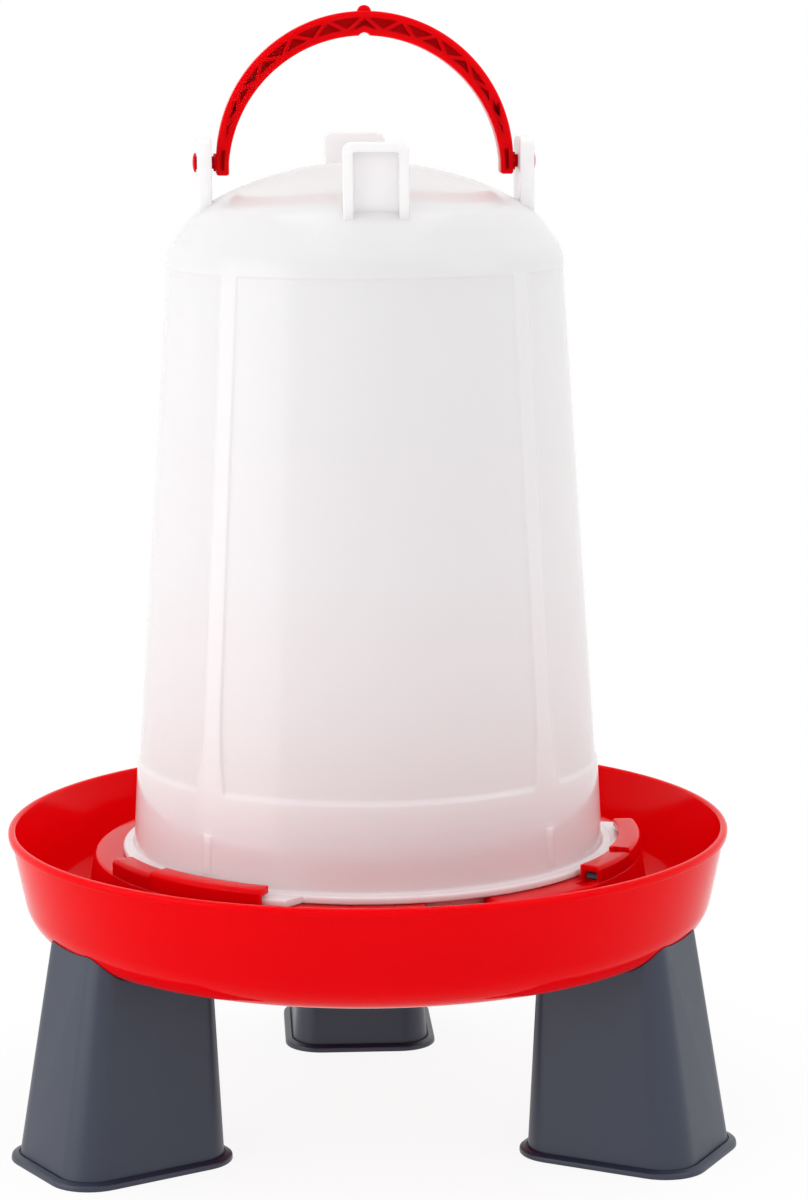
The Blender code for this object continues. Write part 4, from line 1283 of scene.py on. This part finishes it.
def area_light(name, size, radiance):
    """A rectangular light of a (width, height) size. It faces straight down."""
    data = bpy.data.lights.new(name, "AREA")
    data.shape = "RECTANGLE"
    data.size, data.size_y = size
    data.energy = radiance * math.pi * size[0] * size[1]
    return placed(name, data)


def softbox(name, azimuth, distance, size, height, radiance):
    """An upright light that faces the drinker's axis, with its middle at a height."""
    light = area_light(name, size, radiance)
    light.location = along_azimuth(azimuth, distance, 0, height) + AXIS
    light.rotation_euler = on_axis(azimuth).to_track_quat("Z", "Y").to_euler()


def add_floor():
    """A wide floor that fades from a pale surface with the drinker's shadow to plain white."""
    bm = bmesh.new()
    bmesh.ops.create_grid(bm, x_segments=1, y_segments=1, size=FLOOR_HALF)
    mesh = bpy.data.meshes.new("floor")
    bm.to_mesh(mesh)
    bm.free()
    floor = placed("floor", mesh)
    material = bpy.data.materials.new("floor_white")
    material.use_nodes = True
    nodes = material.node_tree.nodes
    links = material.node_tree.links
    surface = nodes["Principled BSDF"]
    surface.inputs["Base Color"].default_value = (*FLOOR_COLOUR, 1)
    surface.inputs["Roughness"].default_value = FLOOR_ROUGHNESS
    surface.inputs["Specular IOR Level"].default_value = FLOOR_GLOSS
    white = nodes.new("ShaderNodeEmission")
    white.inputs["Strength"].default_value = 1
    place = nodes.new("ShaderNodeTexCoord")
    distance = nodes.new("ShaderNodeVectorMath")
    distance.operation = "LENGTH"
    links.new(place.outputs["Object"], distance.inputs[0])
    fade = nodes.new("ShaderNodeMapRange")
    fade.interpolation_type = "SMOOTHSTEP"
    fade.inputs["From Min"].default_value = FADE_START
    fade.inputs["From Max"].default_value = FADE_END
    fade.inputs["To Min"].default_value = FLOOR_WHITE
    links.new(distance.outputs["Value"], fade.inputs["Value"])
    share = nodes.new("ShaderNodeMath")
    share.operation = "MULTIPLY"
    links.new(fade.outputs["Result"], share.inputs[0])
    links.new(seen_directly(nodes, links), share.inputs[1])
    mix = nodes.new("ShaderNodeMixShader")
    links.new(share.outputs["Value"], mix.inputs["Fac"])
    links.new(surface.outputs["BSDF"], mix.inputs[1])
    links.new(white.outputs["Emission"], mix.inputs[2])
    links.new(mix.outputs["Shader"], nodes["Material Output"].inputs["Surface"])
    mesh.materials.append(material)


def seen_directly(nodes, links):
    """1 for what the camera sees, straight or through a clear or glossy surface, and else 0."""
    path = nodes.new("ShaderNodeLightPath")
    total = path.outputs["Is Camera Ray"]
    for kind in ("Is Glossy Ray", "Is Transmission Ray"):
        either = nodes.new("ShaderNodeMath")
        either.operation = "MAXIMUM"
        links.new(total, either.inputs[0])
        links.new(path.outputs[kind], either.inputs[1])
        total = either.outputs["Value"]
    return total


def add_world():
    """Even light from all sides, behind which the camera sees plain white."""
    world = bpy.data.worlds.new("studio")
    bpy.context.scene.world = world
    world.use_nodes = True
    nodes = world.node_tree.nodes
    links = world.node_tree.links
    light = nodes["Background"]
    light.inputs["Color"].default_value = (1, 1, 1, 1)
    light.inputs["Strength"].default_value = WORLD_STRENGTH
    white = nodes.new("ShaderNodeBackground")
    white.inputs["Color"].default_value = (1, 1, 1, 1)
    white.inputs["Strength"].default_value = 1
    mix = nodes.new("ShaderNodeMixShader")
    links.new(seen_directly(nodes, links), mix.inputs["Fac"])
    links.new(light.outputs["Background"], mix.inputs[1])
    links.new(white.outputs["Background"], mix.inputs[2])
    links.new(mix.outputs["Shader"], nodes["World Output"].inputs["Surface"])


def add_stage():
    add_camera()
    add_world()
    add_floor()
    softbox("left softbox", -67, distance=1.1, size=(0.9, 1.0), height=0.50, radiance=1.3)
    softbox("right softbox", 62, distance=1.3, size=(0.8, 0.7), height=0.95, radiance=1.1)
    area_light("top", size=(1.2, 1.2), radiance=1.0).location = (0, 0, TOP_LIGHT_Z)
    bpy.context.scene.view_settings.view_transform = "Standard"


# Assembly


def finish_piece(obj, material, body, node):
    """Puts a fine moulding in the place of its CAD node."""
    obj.data.transform(Matrix.Translation(AXIS))
    obj.data.materials.clear()  # the Booleans leave an empty slot
    obj.data.materials.append(material)
    obj.data.shade_smooth()
    obj.data.set_sharp_from_angle(angle=math.radians(SMOOTH_ANGLE))
    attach(obj, body)
    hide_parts(node)


def main():
    red = red_plastic()
    milky = milky_plastic()
    grey = grey_plastic()
    finish_piece(make_tray(), red, "tray", "tray")
    finish_piece(make_reservoir(), milky, "reservoir", "reservoir")
    finish_piece(make_handle(), red, "handle", "handle")
    for name, azimuth in zip(("leg_front_right", "leg_rear", "leg_front_left"), LEG_AZIMUTHS):
        leg = make_leg(f"{name}_moulding", azimuth)
        finish_piece(leg, grey, "tray", name)
    add_stage()


main()
